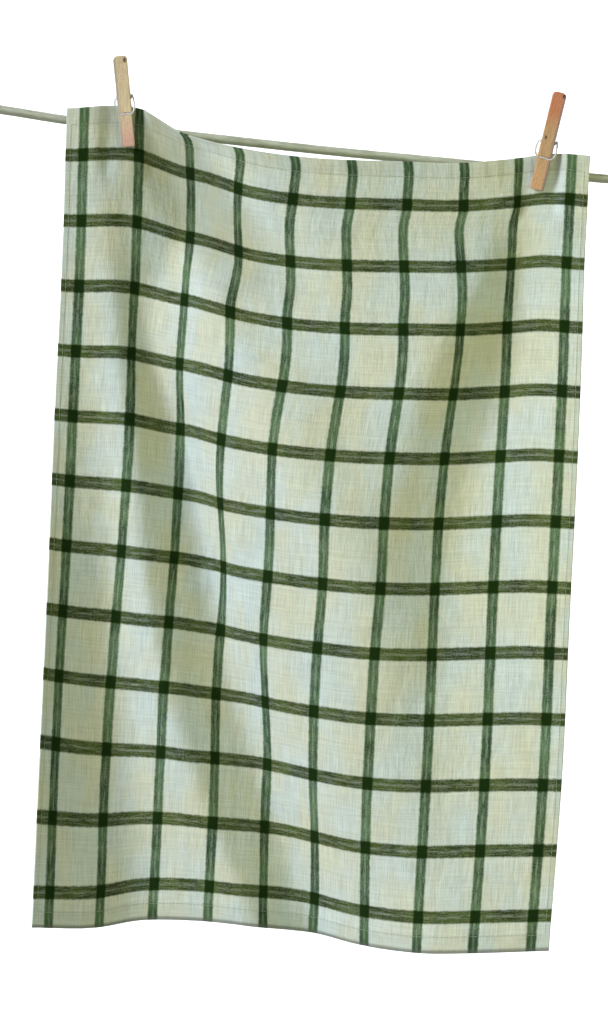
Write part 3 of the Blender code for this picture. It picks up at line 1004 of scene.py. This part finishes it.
@dataclass
class Drape:
    """The shape in which the towel hangs, as points and normals at any place of the flat cloth."""

    cut: Cut = Cut()
    corner_pull: float = 0.021
    corner_pull_from: float = 0.530
    corner_pull_fade: float = 0.138
    corner_pull_width: float = 0.150
    pinch_width: float = 0.013
    pinch_fade: float = 0.014
    pinch_down: float = 0.040
    pinch_down_fade: float = 0.028
    step: float = 0.001
    points: Array = field(init=False)
    normals: Array = field(init=False)

    def __post_init__(self) -> None:
        """Works out the middle surface on a grid of 1 mm."""
        spans = (self.cut.width, self.cut.length)
        u, v = (np.linspace(0, span, round(span / self.step) + 1) for span in spans)
        self.points = self.surface(u[None, :], v[:, None])
        down, across = np.gradient(self.points, axis=(0, 1))
        self.normals = unit(np.cross(down, across))

    def fold_depth(self, u: Array, v: Array) -> Array:
        """Straight slopes from one crest or hollow to the next, each bend rounded.

        A bend adds the change of slope times the rounded distance past it: half of the distance and
        of the root of its square plus the bend's own size squared.

        Args:
            u: The places across the flat cloth, in metres.
            v: The places down it, in metres.

        Returns:
            How far each place stands towards the viewer, in metres.
        """
        down = np.array(SECTION_DOWN) * MM
        across = [smooth_line(down, np.array(fold.across) * MM, v) for fold in FOLDS]
        toward = [smooth_line(down, np.array(fold.toward) * MM, v) for fold in FOLDS]
        slopes = [(toward[i + 1] - toward[i]) / (across[i + 1] - across[i]) for i in range(len(FOLDS) - 1)]
        depth = toward[0] + slopes[0] * u
        for i in range(1, len(FOLDS) - 1):
            past = u - across[i]
            rounded = (past + np.sqrt(past**2 + (FOLDS[i].bend * MM) ** 2)) / 2
            depth = depth + (slopes[i] - slopes[i - 1]) * rounded
        return depth

    def ray_depth(self, u: Array, v: Array) -> Array:
        """Short ridges from the pegs: bell-shaped across, and rising and falling along their length.

        Args:
            u: The places across the flat cloth, in metres.
            v: The places down it, in metres.

        Returns:
            How far each place is raised towards the viewer, in metres.
        """
        depth = 0 * (u + v)
        for ray in RAYS:
            start = np.array(ray.start) * MM
            run = np.array(ray.end) * MM - start
            length = math.hypot(*run)
            run = run / length
            along = np.clip(((u - start[0]) * run[0] + (v - start[1]) * run[1]) / length, 0, 1)
            off = (u - start[0]) * run[1] - (v - start[1]) * run[0]
            reach = np.where(off > 0, ray.upper_reach, ray.lower_reach) * MM
            depth = depth + ray.height * MM * np.sin(math.pi * along) ** 0.8 * np.exp(-((off / reach) ** 2))
        return depth

    def crumple(self, u: Array, v: Array) -> Array:
        """Soft unevenness: broad, middling and fine hills, and a pucker along each hem.

        Args:
            u: The places across the flat cloth, in metres.
            v: The places down it, in metres.

        Returns:
            How far each place is raised towards the viewer, in metres.
        """
        end = np.minimum(v, self.cut.length - v)
        side = np.minimum(u, self.cut.width - u)
        by_end = END_PUCKERS.at(u, v) * fade(end, 0.012, 0.016)
        by_side = SIDE_PUCKERS.at(u, v) * fade(side, 0.004, 0.012)
        below_pegs = 1 - fade(v, 0.020, 0.050)
        hills = (BROAD_HILLS.at(u, v) + MIDDLING_HILLS.at(u, v)) * below_pegs
        return hills + FINE_HILLS.at(u, v) + by_end + by_side

    def held_flat(self, u: Array, v: Array) -> Array:
        """1 where a peg holds the cloth flat, 0 away from both pegs.

        Args:
            u: The places across the flat cloth, in metres.
            v: The places down it, in metres.

        Returns:
            The share, 0 to 1.
        """
        held = 0 * (u + v)
        for across in PINCHES_ACROSS:
            near = fade(abs(u - across), self.pinch_width, self.pinch_fade)
            held = held + near * fade(v, self.pinch_down, self.pinch_down_fade)
        return held

    def row_height(self, u: Array, v: Array) -> Array:
        """Height: from the drooping top edge to the hem in even steps, with the corner pull and lifts.

        Args:
            u: The places across the flat cloth, in metres.
            v: The places down it, in metres.

        Returns:
            The height z of each place, in metres.
        """
        top, hem = (smooth_line(*(np.array(line) * MM).T, u) for line in (TOP_EDGE, HEM))
        share = v / self.cut.length
        near_corner = np.clip(1 - u / self.corner_pull_width, 0, 1) ** 1.1
        below = np.clip((v - self.corner_pull_from) / self.corner_pull_fade, 0, 1) ** 1.2
        height = top * (1 - share) + hem * share + self.corner_pull * near_corner * (share - below)
        for lift in LIFTS:
            spread = np.exp(-(((u - lift.across * MM) / (lift.reach * MM)) ** 2))
            rising = (1 - np.exp(-v / (lift.onset * MM))) * np.clip(1 - share, 0, 1) ** 0.6
            height = height + lift.height * MM * spread * rising
        return height

    def surface(self, u: Array, v: Array) -> Array:
        """The middle surface. Width is arc length: cloth that turns away or slants covers less of it.

        Args:
            u: The places across the flat cloth, in metres.
            v: The places down it, in metres.

        Returns:
            The points, rows by columns by 3.
        """
        depth = self.fold_depth(u, v) + self.ray_depth(u, v) + self.crumple(u, v)
        depth = depth * (1 - self.held_flat(u, v))
        height = self.row_height(u, v)
        turn, slant = (np.gradient(way, u[0], axis=1) for way in (depth, height))
        cover = np.sqrt(np.clip(1 - turn**2 - slant**2, 0.08, 1))
        steps = (cover[:, 1:] + cover[:, :-1]) / 2 * np.diff(u, axis=1)
        run = np.concatenate([np.zeros((len(v), 1)), np.cumsum(steps, axis=1)], axis=1)
        down = np.array(SECTION_DOWN) * MM
        left, right = (smooth_line(down, np.array(edge) * MM, v) for edge in SIDE_EDGES)
        x = left + run * (right - left) / run[:, -1:]
        return np.stack([x, -CLOTH_IN_FRONT - depth, height], axis=-1)

    def at(self, u: Array, v: Array) -> tuple[Array, Array]:
        """Points and normals at places of the flat cloth, between the grid's own.

        Args:
            u: The places across, in metres.
            v: The places down, in metres.

        Returns:
            The points and the normals towards the viewer, one row for each place.
        """
        u, v = np.broadcast_arrays(u, v)
        i = np.clip(v / self.step, 0, self.points.shape[0] - 1.001)
        j = np.clip(u / self.step, 0, self.points.shape[1] - 1.001)
        i0, j0 = i.astype(int), j.astype(int)
        shares = (i - i0)[..., None], (j - j0)[..., None]
        points, normals = (blend(grid, i0, j0, *shares) for grid in (self.points, self.normals))
        return points, unit(normals)


@dataclass
class Towel:
    """The towel: its cloth with four turned hems, and the stitches that hold them."""

    drape: Drape
    finish: CheckLinen
    thread: Yarn
    thickness: float = 0.9 * MM
    hem_more_front: float = 0.15 * MM
    hem_more_back: float = 0.75 * MM
    columns: int = 164
    rows: int = 226
    stitch_length: float = 2.6 * MM
    stitch_pitch: float = 3.2 * MM
    stitch_radius: float = 0.22 * MM
    stitch_rings: int = 5
    stitch_sides: int = 6

    def samples(self, span: float, hem: float, count: int) -> Array:
        """Places across or down, close together over each hem's edge and step.

        Args:
            span: The cloth's size that way.
            hem: The width of the hem at each end.
            count: How many places lie between the hems.

        Returns:
            The places, rising, in metres.
        """
        near = np.array([0, 0.5, 1.3]) * MM
        step = hem + np.array([-1.2, -0.5, 0, 0.5, 1.2]) * MM
        between = np.linspace(1.3 * MM, hem - 1.2 * MM, 2 + round(hem / 0.004))[1:-1]
        edge = np.concatenate([near, between, step])
        inside = np.linspace(hem + 1.2 * MM, span - hem - 1.2 * MM, count)[1:-1]
        return np.concatenate([edge, inside, span - edge[::-1]])

    def hem_share(self, u: Array, v: Array) -> Array:
        """1 on the hems, falling to 0 over the step at their inner edge.

        Args:
            u: The places across the flat cloth, in metres.
            v: The places down it, in metres.

        Returns:
            The share, 0 to 1.
        """
        cut, soft = self.drape.cut, 1.0 * MM
        on_side = fade(np.minimum(u, cut.width - u), cut.hem_side - soft / 2, soft)
        on_end = fade(np.minimum(v, cut.length - v), cut.hem_end - soft / 2, soft)
        return np.maximum(on_side, on_end)

    def cloth(self) -> Mesh:
        """Front and back surfaces either side of the middle one, joined round the edge by a ridge.

        Returns:
            The mesh, with faces outwards.
        """
        cut = self.drape.cut
        u = self.samples(cut.width, cut.hem_side, self.columns)[None, :]
        v = self.samples(cut.length, cut.hem_end, self.rows)[:, None]
        middle, normal = self.drape.at(u, v)
        hem = self.hem_share(u, v)[..., None]
        front = middle + normal * (self.thickness / 2 + self.hem_more_front * hem)
        back = middle - normal * (self.thickness / 2 + self.hem_more_back * hem)
        front, back, middle, normal = (grid.reshape(-1, 3) for grid in (front, back, middle, normal))
        index = np.arange(len(middle)).reshape(len(v), -1)
        rim = np.concatenate([index[0], index[1:, -1], index[-1, -2::-1], index[-2:0:-1, 0]])
        ring = 2 * len(middle) + np.arange(len(rim))
        along = unit(np.roll(middle[rim], -1, axis=0) - np.roll(middle[rim], 1, axis=0))
        inward = np.cross(along, normal[rim])
        ridge = (front + back)[rim] / 2 - inward * self.thickness * 0.55
        around = np.roll(hoops(np.stack([rim, ring, rim + len(middle)]))[:, ::-1], 1, axis=1)
        faces = np.concatenate([strips(index), strips(index)[:, ::-1] + len(middle), around]).tolist()
        places = np.stack(np.broadcast_arrays(u, v), axis=-1).reshape(-1, 2)
        points = np.concatenate([front, back, ridge])
        return Mesh(points, faces, np.concatenate([places, places, places[rim]]))

    def stitches(self) -> Mesh:
        """A row of stitches inside each hem's edge, on both faces.

        A stitch is a thin capsule: six points to a ring, five rings along, its radius and height
        above the cloth following a half sine from one end to the other.

        Returns:
            The mesh of all stitches, with faces outwards.
        """
        cut = self.drape.cut
        inset_side, inset_end = cut.hem_side - 1.0 * MM, cut.hem_end - 1.2 * MM
        across = np.arange(inset_side, cut.width - inset_side - self.stitch_length, self.stitch_pitch)
        down = np.arange(inset_end, cut.length - inset_end - self.stitch_length, self.stitch_pitch)
        runs = [(across, v, 1.0, 0.0) for v in (inset_end, cut.length - inset_end)]
        runs += [(u, down, 0.0, 1.0) for u in (inset_side, cut.width - inset_side)]
        starts = np.concatenate([np.stack(np.broadcast_arrays(*run), axis=1) for run in runs])
        share = np.linspace(0, 1, self.stitch_rings)
        u = starts[:, None, 0] + starts[:, None, 2] * share * self.stitch_length
        v = starts[:, None, 1] + starts[:, None, 3] * share * self.stitch_length
        middle, normal = self.drape.at(u, v)
        sideways = np.cross(unit(middle[:, -1:] - middle[:, :1]), normal)
        swell = 0.35 + 0.65 * np.sin(math.pi * share)[None, :, None, None]
        turn = np.arange(self.stitch_sides) / self.stitch_sides
        angle = 2 * math.pi * turn[:, None]
        shape = (len(starts), self.stitch_rings, self.stitch_sides)
        faces, points = [], []
        for side, more in ((1, self.hem_more_front), (-1, self.hem_more_back)):
            height = self.thickness / 2 + more + self.stitch_radius * 0.5 * swell[..., 0]
            core = middle + side * normal * height
            rings = core[:, :, None] + swell * self.stitch_radius * (
                np.cos(angle) * sideways[:, :, None] + np.sin(angle) * side * normal[:, :, None]
            )
            index = np.arange(math.prod(shape)).reshape(shape) + len(points) * math.prod(shape)
            caps = np.concatenate([index[:, 0, :], index[:, -1, ::-1]])
            faces += hoops(index)[:, ::side].tolist() + caps[:, ::side].tolist()
            points.append(rings.reshape(-1, 3))
        where = np.stack(np.broadcast_arrays(share[:, None] * self.stitch_length, turn), axis=-1)
        places = np.broadcast_to(where, (2 * len(starts), *where.shape)).reshape(-1, 2)
        return Mesh(np.concatenate(points), faces, places)

    def build(self) -> None:
        """Makes the cloth and its stitches."""
        cloth = piece("check_towel", self.cloth(), self.finish.material(), ["tea_towel"])
        stitches = piece("hem_stitches", self.stitches(), self.thread.material())


# The line ----------------------------------------------------------------------------------------


class Side(Enum):
    """Which end of the line, or which peg, as seen from the front."""

    LEFT = "left"
    RIGHT = "right"


@dataclass(frozen=True)
class LineEnd:
    """An eye of the line: its middle, which way the rope leaves it, and the tail's side of that way."""

    side: Side
    x: float
    z: float
    inward_deg: float
    tail_side: int

    def at(self, along: Array | float, aside: Array | float, toward: Array | float = 0.0) -> Array:
        """Places at the eye.

        Args:
            along: How far along the rope's way.
            aside: How far to the tail's side.
            toward: How far towards the viewer.

        Returns:
            The places in the towel's frame, in rows of three.
        """
        turn = math.radians(self.inward_deg)
        x = self.x + along * math.cos(turn) - self.tail_side * aside * math.sin(turn)
        z = self.z + along * math.sin(turn) + self.tail_side * aside * math.cos(turn)
        return np.array([x, -toward, z]).T


LINE_ENDS = (
    LineEnd(Side.LEFT, -0.3356, 0.0061, -6.2, 1),
    LineEnd(Side.RIGHT, 0.2930, -0.0342, 178.2, -1),
)
ROPE_ASIDE = LINE_RADIUS + GAP / 2
EYE_TAIL = (  # a point of the rope round an eye: towards the line, and to the tail's side
    *((0.042, ROPE_ASIDE), (0.026, ROPE_ASIDE), (0.019, 0.0060), (0.0125, 0.0101)),
    *((0.0073, 0.0142), (0.0, 0.016), (-0.008, 0.0139), (-0.0139, 0.008)),
)
EYE_END = (-0.016, 0.0)
LINE_ROUTE = (  # the middle of the straight rope between the eyes, as (x, z)
    *((-0.2900, -0.0030), (-0.2385, -0.0086), (-0.1785, -0.0136), (-0.0780, -0.0202)),
    *((0.0110, -0.0252), (0.0820, -0.0283), (0.1885, -0.0335), (0.2365, -0.0366)),
)


@dataclass
class WashingLine:
    """The braided line with an eye at each end, and the twine that binds each eye."""

    finish: Rope
    twine: Yarn
    radius: float = LINE_RADIUS
    step: float = 0.8 * MM
    sides: int = 48
    strands: int = 8
    braid_length: float = 0.026
    braid_depth: float = 0.22 * MM
    binding_from_eye: float = 0.034
    binding_length: float = 0.013
    twine_radius: float = 0.78 * MM
    twine_turns: int = 8
    twine_steps: int = 44

    def eye(self, end: LineEnd) -> Array:
        """Points from the tail round the eye to where the straight rope starts.

        Args:
            end: Which end of the line.

        Returns:
            The points, n by 3.
        """
        back = [(along, -aside) for along, aside in reversed(EYE_TAIL)]
        return smooth_path([end.at(*place) for place in (*EYE_TAIL, EYE_END, *back)], 0.006)

    def path(self) -> Array:
        """Points along the middle of the rope, from the left tail to the right one.

        Returns:
            The points, n by 3.
        """
        left, right = (self.eye(end) for end in LINE_ENDS)
        straight = [left[-1], *((x, 0.0, z) for x, z in LINE_ROUTE), right[-1]]
        whole = [*left[:-1], *smooth_path(straight, 0.018), *right[:-1][::-1]]
        return smooth_path(whole, self.step)

    def rope(self, path: Array) -> Mesh:
        """The rope: a tube whose radius follows a braid of strands wound both ways.

        Each way's strands are half-round ridges along a helix. Where they cross, the upper one
        alternates, by the cosine of the strands' count times the angle. Each end closes in a dome.

        Args:
            path: The points along its middle.

        Returns:
            The mesh.
        """
        along = lengths_along(path)[:, None]
        turn = (np.arange(self.sides) / self.sides)[None, :]
        lay = along / self.braid_length
        ridges = [
            np.sqrt(np.clip(1 - (2 * np.mod(self.strands * (turn + way * lay), 1) - 1) ** 2, 0, 1))
            for way in (1, -1)
        ]
        over = 0.5 + 0.5 * np.clip(1.8 * np.cos(2 * math.pi * self.strands * turn), -1, 1)
        braid = ridges[0] * over + ridges[1] * (1 - over)
        end = np.minimum(along, along[-1] - along) / self.radius
        dome = np.sqrt(np.clip(1 - np.clip(1 - end, 0, 1) ** 2, 0.02, 1))
        radius = (self.radius - self.braid_depth * (1 - braid)) * dome
        return tube(path, radius, self.sides, (0.0, 1.0, 0.0))

    def binding(self, end: LineEnd) -> Mesh:
        """Twine wound round both ropes: round a stadium outline, moving along as it turns.

        Args:
            end: Which end of the line.

        Returns:
            The mesh.
        """
        reach = self.radius + GAP + self.twine_radius
        straight, bend = 2 * ROPE_ASIDE, math.pi * reach
        laps = np.linspace(0, self.twine_turns, self.twine_turns * self.twine_steps + 1)
        run = np.mod(laps, 1) * 2 * (straight + bend)
        legs = [run < straight, run < straight + bend, run < 2 * straight + bend]
        first, second = (run - straight) / reach, (run - 2 * straight - bend) / reach
        back = straight / 2 - (run - straight - bend)
        aside = np.select(
            legs,
            [run - straight / 2, straight / 2 + reach * np.sin(first), back],
            -straight / 2 - reach * np.sin(second),
        )
        toward = np.select(legs, [reach, reach * np.cos(first), -reach], -reach * np.cos(second))
        half = self.binding_length / 2 - self.twine_radius
        along = self.binding_from_eye - half + 2 * half * laps / self.twine_turns
        turn = math.radians(end.inward_deg)
        along_rope = (math.cos(turn), 0.0, math.sin(turn))
        return tube(end.at(along, aside, toward), self.twine_radius, 8, along_rope)

    def build(self) -> None:
        """Makes the rope and its bindings."""
        path = self.path()
        rope = piece("braided_line", self.rope(path), self.finish.material(), ["washing_line"])
        twine = self.twine.material()
        for end in LINE_ENDS:
            side = end.side.value
            piece(f"{side}_eye_twine", self.binding(end), twine, [f"line_binding_{side}"])


# The pegs ----------------------------------------------------------------------------------------


@dataclass(frozen=True)
class PegPlace:
    """Where a peg sits: its length, where it crosses the line, and how far its top leans right."""

    side: Side
    length: float
    line_x: float
    lean_deg: float


@dataclass
class SpringPeg:
    """A wooden spring peg: two halves and a steel spring. Sizes as the model's solids have them.

    A height on the peg is measured from its tip, a depth outwards from its clamping face.
    """

    place: PegPlace
    wood: Wood
    steel: Material
    width: float = 0.012
    pivot: float = 0.045
    notch: float = 0.0165
    notch_radius: float = 7.0 * MM
    notch_depth: float = 2.8 * MM
    line_seat: float = 2.2 * MM
    bar: float = 0.028
    bar_groove: float = 1.2 * MM
    body: float = 8.0 * MM
    wire_radius: float = 0.75 * MM
    coil_radius: float = 2.6 * MM
    coil_turns: int = 5
    coil_steps: int = 24
    clamp_in_front: float = CLOTH_IN_FRONT + 0.75 * MM + GAP + 0.1 * MM
    ease: float = 0.7 * MM
    top_round: float = 3.6 * MM

    def tilt(self) -> float:
        """How far the back half turns about the coil, so that its notch comes to the line."""
        reach = math.hypot(self.pivot - self.notch, self.line_seat)
        return math.atan2(self.line_seat, self.pivot - self.notch) + math.asin(self.clamp_in_front / reach)

    def carrier(self) -> Matrix:
        """From the peg's own frame to the towel's.

        Returns:
            The matrix.
        """
        tilt = self.tilt()
        rise = self.pivot - (self.pivot - self.notch) * math.cos(tilt) - self.line_seat * math.sin(tilt)
        lean = math.radians(self.place.lean_deg)
        xs, zs = zip(*LINE_ROUTE, strict=True)
        line_z = float(smooth_line(xs, zs, np.array(self.place.line_x)))
        foot_x, foot_z = self.place.line_x - rise * math.sin(lean), line_z - rise * math.cos(lean)
        foot = (foot_x, -self.clamp_in_front, foot_z)
        return Matrix.Translation(foot) @ Matrix.Rotation(lean, 4, "Y")

    def about_pivot(self, tilt: float) -> Matrix:
        """A turn about the spring's coil, which swings the tip back."""
        pivot = Vector((0.0, 0.0, self.pivot))
        return Matrix.Translation(pivot) @ Matrix.Rotation(tilt, 4, "X") @ Matrix.Translation(-pivot)

    def arc(
        self, middle: tuple[float, float], radius: float, start: float, end: float, steps: int = 14
    ) -> list[tuple[float, float]]:
        """Points along an arc in the outline, as (depth, height). Angles in degrees from straight down."""
        turns = np.radians(np.linspace(start, end, steps + 1))
        return [(middle[0] + radius * math.sin(t), middle[1] - radius * math.cos(t)) for t in turns]

    def outline(self) -> Array:
        """The side view of one half, as (depth, height), from its tip up the clamping face.

        Returns:
            The corners, n by 2, in metres.
        """
        length = self.place.length
        notch_middle = self.notch_depth - self.notch_radius
        notch_half = math.degrees(math.acos(-notch_middle / self.notch_radius))
        coil_room = self.coil_radius + self.wire_radius + 0.35 * MM
        half = self.wire_radius + GAP
        groove = self.body - self.bar_groove
        clamping_face = [
            *((1.6 * MM, 0.0), (0.0, 5 * MM)),
            *self.arc((notch_middle, self.notch), self.notch_radius, 90 - notch_half, 90 + notch_half),
            *self.arc((0.0, self.pivot), coil_room, 0, 155),
        ]
        top = [(9.0, length - 1 * MM), (10.0, length), (13.6, length), (14.4, length - 1.5 * MM)]
        outer_face = [
            *((self.body, 0.056), (self.body, self.bar + half), (groove, self.bar + half)),
            *((groove, self.bar - half), (self.body, self.bar - half), (self.body, 0.022)),
            *((4.0 * MM, 1 * MM), (3.2 * MM, 0.0)),
        ]
        return np.array([*clamping_face, *((depth * MM, height) for depth, height in top), *outer_face])

    def half(self, facing: int) -> Mesh:
        """One wooden half: the side view carried across the width, its edges eased by a quarter round.

        Each ring is the outline drawn in along its own corners' middles by the round's share. Its top
        comes down towards the sides as a quarter circle does, so that the upper corners are round.

        Args:
            facing: -1 for the front half, 1 for the back one.

        Returns:
            The mesh, with faces outwards.
        """
        outline = self.outline()
        before = unit(outline - np.roll(outline, 1, axis=0))
        after = unit(np.roll(outline, -1, axis=0) - outline)
        inward = unit(before + after)[:, ::-1] * np.array([1.0, -1.0])
        turns = np.linspace(0, math.pi / 2, 5)
        flat = self.width / 2 - self.top_round
        eased = self.width / 2 - self.ease * (1 - np.cos(turns))
        stand = np.concatenate([eased, np.linspace(eased[-1], flat, 6)[1:]])
        drawn = np.concatenate([self.ease * (1 - np.sin(turns)), np.zeros(5)])
        across = np.concatenate([-stand, stand[::-1]])
        inset = np.concatenate([drawn, drawn[::-1]])
        rings = outline[None] + inset[:, None, None] * inward[None]
        aside = np.clip((abs(across) - flat) / self.top_round, 0, 0.995)
        drop = self.top_round * (1 - np.sqrt(1 - aside**2))
        near_top = np.clip((rings[..., 1] - self.place.length + 6 * MM) / (4 * MM), 0, 1)
        rings[..., 1] -= drop[:, None] * near_top
        points = np.stack(
            np.broadcast_arrays(across[:, None], facing * rings[..., 0], rings[..., 1]), axis=-1
        )
        faces = closed_skin(len(across), len(outline))
        if facing < 0:
            faces = [face[::-1] for face in faces]
        turned = self.carrier() @ (self.about_pivot(self.tilt()) if facing > 0 else Matrix.Identity(4))
        points = points.reshape(-1, 3)
        return Mesh(self.carried(points, turned), faces, points[:, ::2])

    def carried(self, points: Array, by: Matrix) -> Array:
        """Points of the peg's own frame, carried by a matrix."""
        return points @ np.array(by.to_3x3()).T + np.array(by.translation)

    def spring(self) -> Mesh:
        """The spring: a bar across each half, an arm from it, and the coil between the arms.

        Returns:
            The mesh.
        """
        tilt = self.tilt()
        bar_depth = self.body - self.bar_groove + self.wire_radius + GAP
        side = self.width / 2 + self.wire_radius + 0.4 * MM
        front = [
            Vector((-self.width / 2 + 1.5 * MM, -bar_depth, self.bar)),
            Vector((0.0, -bar_depth, self.bar)),
            Vector((side - 1.5 * MM, -bar_depth, self.bar)),
            Vector((side, -bar_depth + 0.6 * MM, self.bar + 1.2 * MM)),
        ]
        back = [self.about_pivot(tilt) @ Vector((-p.x, -p.y, p.z)) for p in reversed(front)]
        sweep = 2 * math.pi * self.coil_turns + math.radians(140) - tilt
        share = np.linspace(0, 1, round(self.coil_steps * sweep / (2 * math.pi)) + 1)
        turn = math.radians(200) + sweep * share
        deep, high = self.coil_radius * np.cos(turn), self.pivot + self.coil_radius * np.sin(turn)
        coil = np.stack([side * (1 - 2 * share), deep, high], axis=1)
        path = np.concatenate([np.array([list(p) for p in front]), coil, np.array([list(p) for p in back])])
        path = self.carried(smooth_path(path, 0.5 * MM), self.carrier())
        return tube(path, self.wire_radius, 12, (0.08, 0.30, 0.95))

    def build(self) -> None:
        """Makes the two halves and the spring."""
        side, length = self.place.side.value, self.place.length
        carrier = self.carrier()
        for name, facing, tilt in (("front", -1, 0.0), ("back", 1, self.tilt())):
            turned = carrier @ self.about_pivot(tilt)
            foot = tuple(np.array(turned.translation) + HANG)
            wood = self.wood.material(f"{side} {name} wood", foot, tuple(turned.to_euler()), length)
            node = f"peg_{side}_{name}"
            made = piece(f"{side}_peg_{name}", self.half(facing), wood, [node])
            made.data.set_sharp_from_angle(angle=math.radians(40))
        piece(f"{side}_peg_spring_wire", self.spring(), self.steel, [f"peg_{side}_spring"])


# The studio --------------------------------------------------------------------------------------


class Lamp(NamedTuple):
    """A soft square lamp: where it stands, what it points at, its side, power in W and colour."""

    name: str
    at: Place
    to: Place
    size: float
    power: float
    colour: Place


LAMPS = (
    Lamp("key", (-6.0, -3.6, 3.4), (0.0, 0.0, -0.34), 2.6, 645.0, (0.94, 0.96, 1.18)),
    Lamp("fill", (0.85, -0.85, -0.15), (0.1, 0.0, -0.34), 0.7, 4.6, (1.0, 0.99, 0.60)),
    Lamp("wall left", (-1.3, 0.9, 1.3), (-0.6, 3.2, -0.3), 1.2, 60.0, (1.0, 1.0, 1.0)),
    Lamp("wall right", (1.3, 0.9, 1.3), (0.6, 3.2, -0.3), 1.2, 60.0, (1.0, 1.0, 1.0)),
)


@dataclass
class Studio:
    """The plain pale sweep, the soft lights and the camera at the photo's angle."""

    paper: Paper
    floor_below: float = 1.30
    wall_behind: float = 3.2
    wall_top: float = 2.4
    reach: float = 4.5
    curve: float = 0.8
    aim: tuple[float, float] = (-0.005, -0.3445)
    distance: float = 3.0
    roll_deg: float = 2.9
    seen_height: float = 0.905
    sensor: float = 36.0
    sky: Colour = (1.0, 1.0, 0.52, 1.0)
    sky_strength: float = 0.055

    def sweep(self) -> None:
        """Floor, curve and wall as one sheet: a section of straight, quarter round and straight."""
        turns = np.linspace(0, math.pi / 2, 24)
        bend_y = self.wall_behind - self.curve + self.curve * np.sin(turns)
        bend_z = self.curve * (1 - np.cos(turns)) - self.floor_below
        ys = np.concatenate([[-self.reach], bend_y, [self.wall_behind]])
        zs = np.concatenate([[-self.floor_below], bend_z, [self.wall_top]])
        xs = np.linspace(-self.reach, self.reach, 7)
        grid = np.stack(np.broadcast_arrays(xs[None, :], ys[:, None], zs[:, None]), axis=-1)
        index = np.arange(grid[..., 0].size).reshape(grid.shape[:2])
        data = bpy.data.meshes.new("studio_sweep")
        data.from_pydata((grid.reshape(-1, 3) + HANG).tolist(), [], strips(index.T).tolist())
        data.materials.append(self.paper.material())
        data.shade_smooth()
        add_object("studio_sweep", data)

    def lamp(self, lamp: Lamp) -> None:
        """Makes one soft square lamp.

        Args:
            lamp: Its sizes and place.
        """
        data = bpy.data.lights.new(lamp.name, "AREA")
        data.shape = "SQUARE"
        data.size = lamp.size
        data.energy = lamp.power
        data.color = lamp.colour
        made = add_object(lamp.name, data)
        made.location = Vector(lamp.at) + Vector(HANG)
        way = Vector(lamp.to) - Vector(lamp.at)
        made.rotation_euler = way.to_track_quat("-Z", "Y").to_euler()

    def camera(self) -> None:
        """The camera: level, straight ahead of the towel, and rolled as the photo is."""
        data = bpy.data.cameras.new("camera")
        data.sensor_fit = "VERTICAL"
        data.sensor_height = self.sensor
        data.lens = self.sensor * self.distance / self.seen_height
        made = add_object("camera", data)
        roll = math.radians(self.roll_deg)
        right = Vector((math.cos(roll), 0.0, math.sin(roll)))
        up = Vector((-math.sin(roll), 0.0, math.cos(roll)))
        back = Vector((0.0, -1.0, 0.0))
        turn = Matrix((right, up, back)).transposed().to_4x4()
        place = Vector((self.aim[0], -self.distance, self.aim[1])) + Vector(HANG)
        made.matrix_world = Matrix.Translation(place) @ turn
        bpy.context.scene.camera = made

    def build(self) -> None:
        """Makes the sweep, the lights and the sky."""
        self.sweep()
        for lamp in LAMPS:
            self.lamp(lamp)
        world = bpy.data.worlds.new("sky")
        world.use_nodes = True
        Net(world.node_tree).fill(
            world.node_tree.nodes["Background"], Color=self.sky, Strength=self.sky_strength
        )
        bpy.context.scene.world = world
        bpy.context.scene.view_settings.view_transform = "Standard"


def pale_wood(grain: NodeTree) -> Wood:
    """The left peg's wood: pale yellow, pinker at the tip.

    Args:
        grain: The shared group of wood grain.

    Returns:
        The wood.
    """
    return Wood(
        grain,
        slot="pale_wood",
        tip=srgb(236, 190, 164),
        middle=srgb(226, 208, 160),
        top=srgb(222, 204, 158),
        dark=srgb(150, 118, 76),
        knots=((0.0042, 0.0745, 0.0016), (0.0004, 0.0285, 0.0009)),
        # a strip of painted shade along the left edge
        side_shade_edge=-0.0060,
        side_shade=srgb(176, 168, 148),
    )


def warm_wood(grain: NodeTree) -> Wood:
    """The right peg's wood: orange-brown at the top, tan below.

    Args:
        grain: The shared group of wood grain.

    Returns:
        The wood.
    """
    return Wood(
        grain,
        slot="warm_wood",
        tip=srgb(216, 172, 120),
        middle=srgb(196, 164, 112),
        top=srgb(200, 130, 86),
        dark=srgb(124, 78, 44),
        knots=((-0.0030, 0.0460, 0.0012), (0.0040, 0.0840, 0.0016)),
        # a strip of painted shade along the right edge
        side_shade_edge=0.0060,
        side_shade=srgb(138, 116, 112),
    )


def main() -> None:
    """Builds the line, the towel, the pegs and the studio."""
    logging.basicConfig(level=logging.INFO, format="%(message)s")
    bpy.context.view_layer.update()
    studio = Studio(Paper())
    studio.camera()
    WashingLine(Rope(), WAXED_TWINE).build()
    Towel(Drape(), CheckLinen(thread_group(), stripe_group()), SEWING_THREAD).build()
    grain, steel = grain_group(), Steel().material()
    SpringPeg(PegPlace(Side.LEFT, 0.0785, -0.1785, -8.1), pale_wood(grain), steel).build()
    SpringPeg(PegPlace(Side.RIGHT, 0.0865, 0.1885, 10.7), warm_wood(grain), steel).build()
    studio.build()


if __name__ == "__main__":
    main()
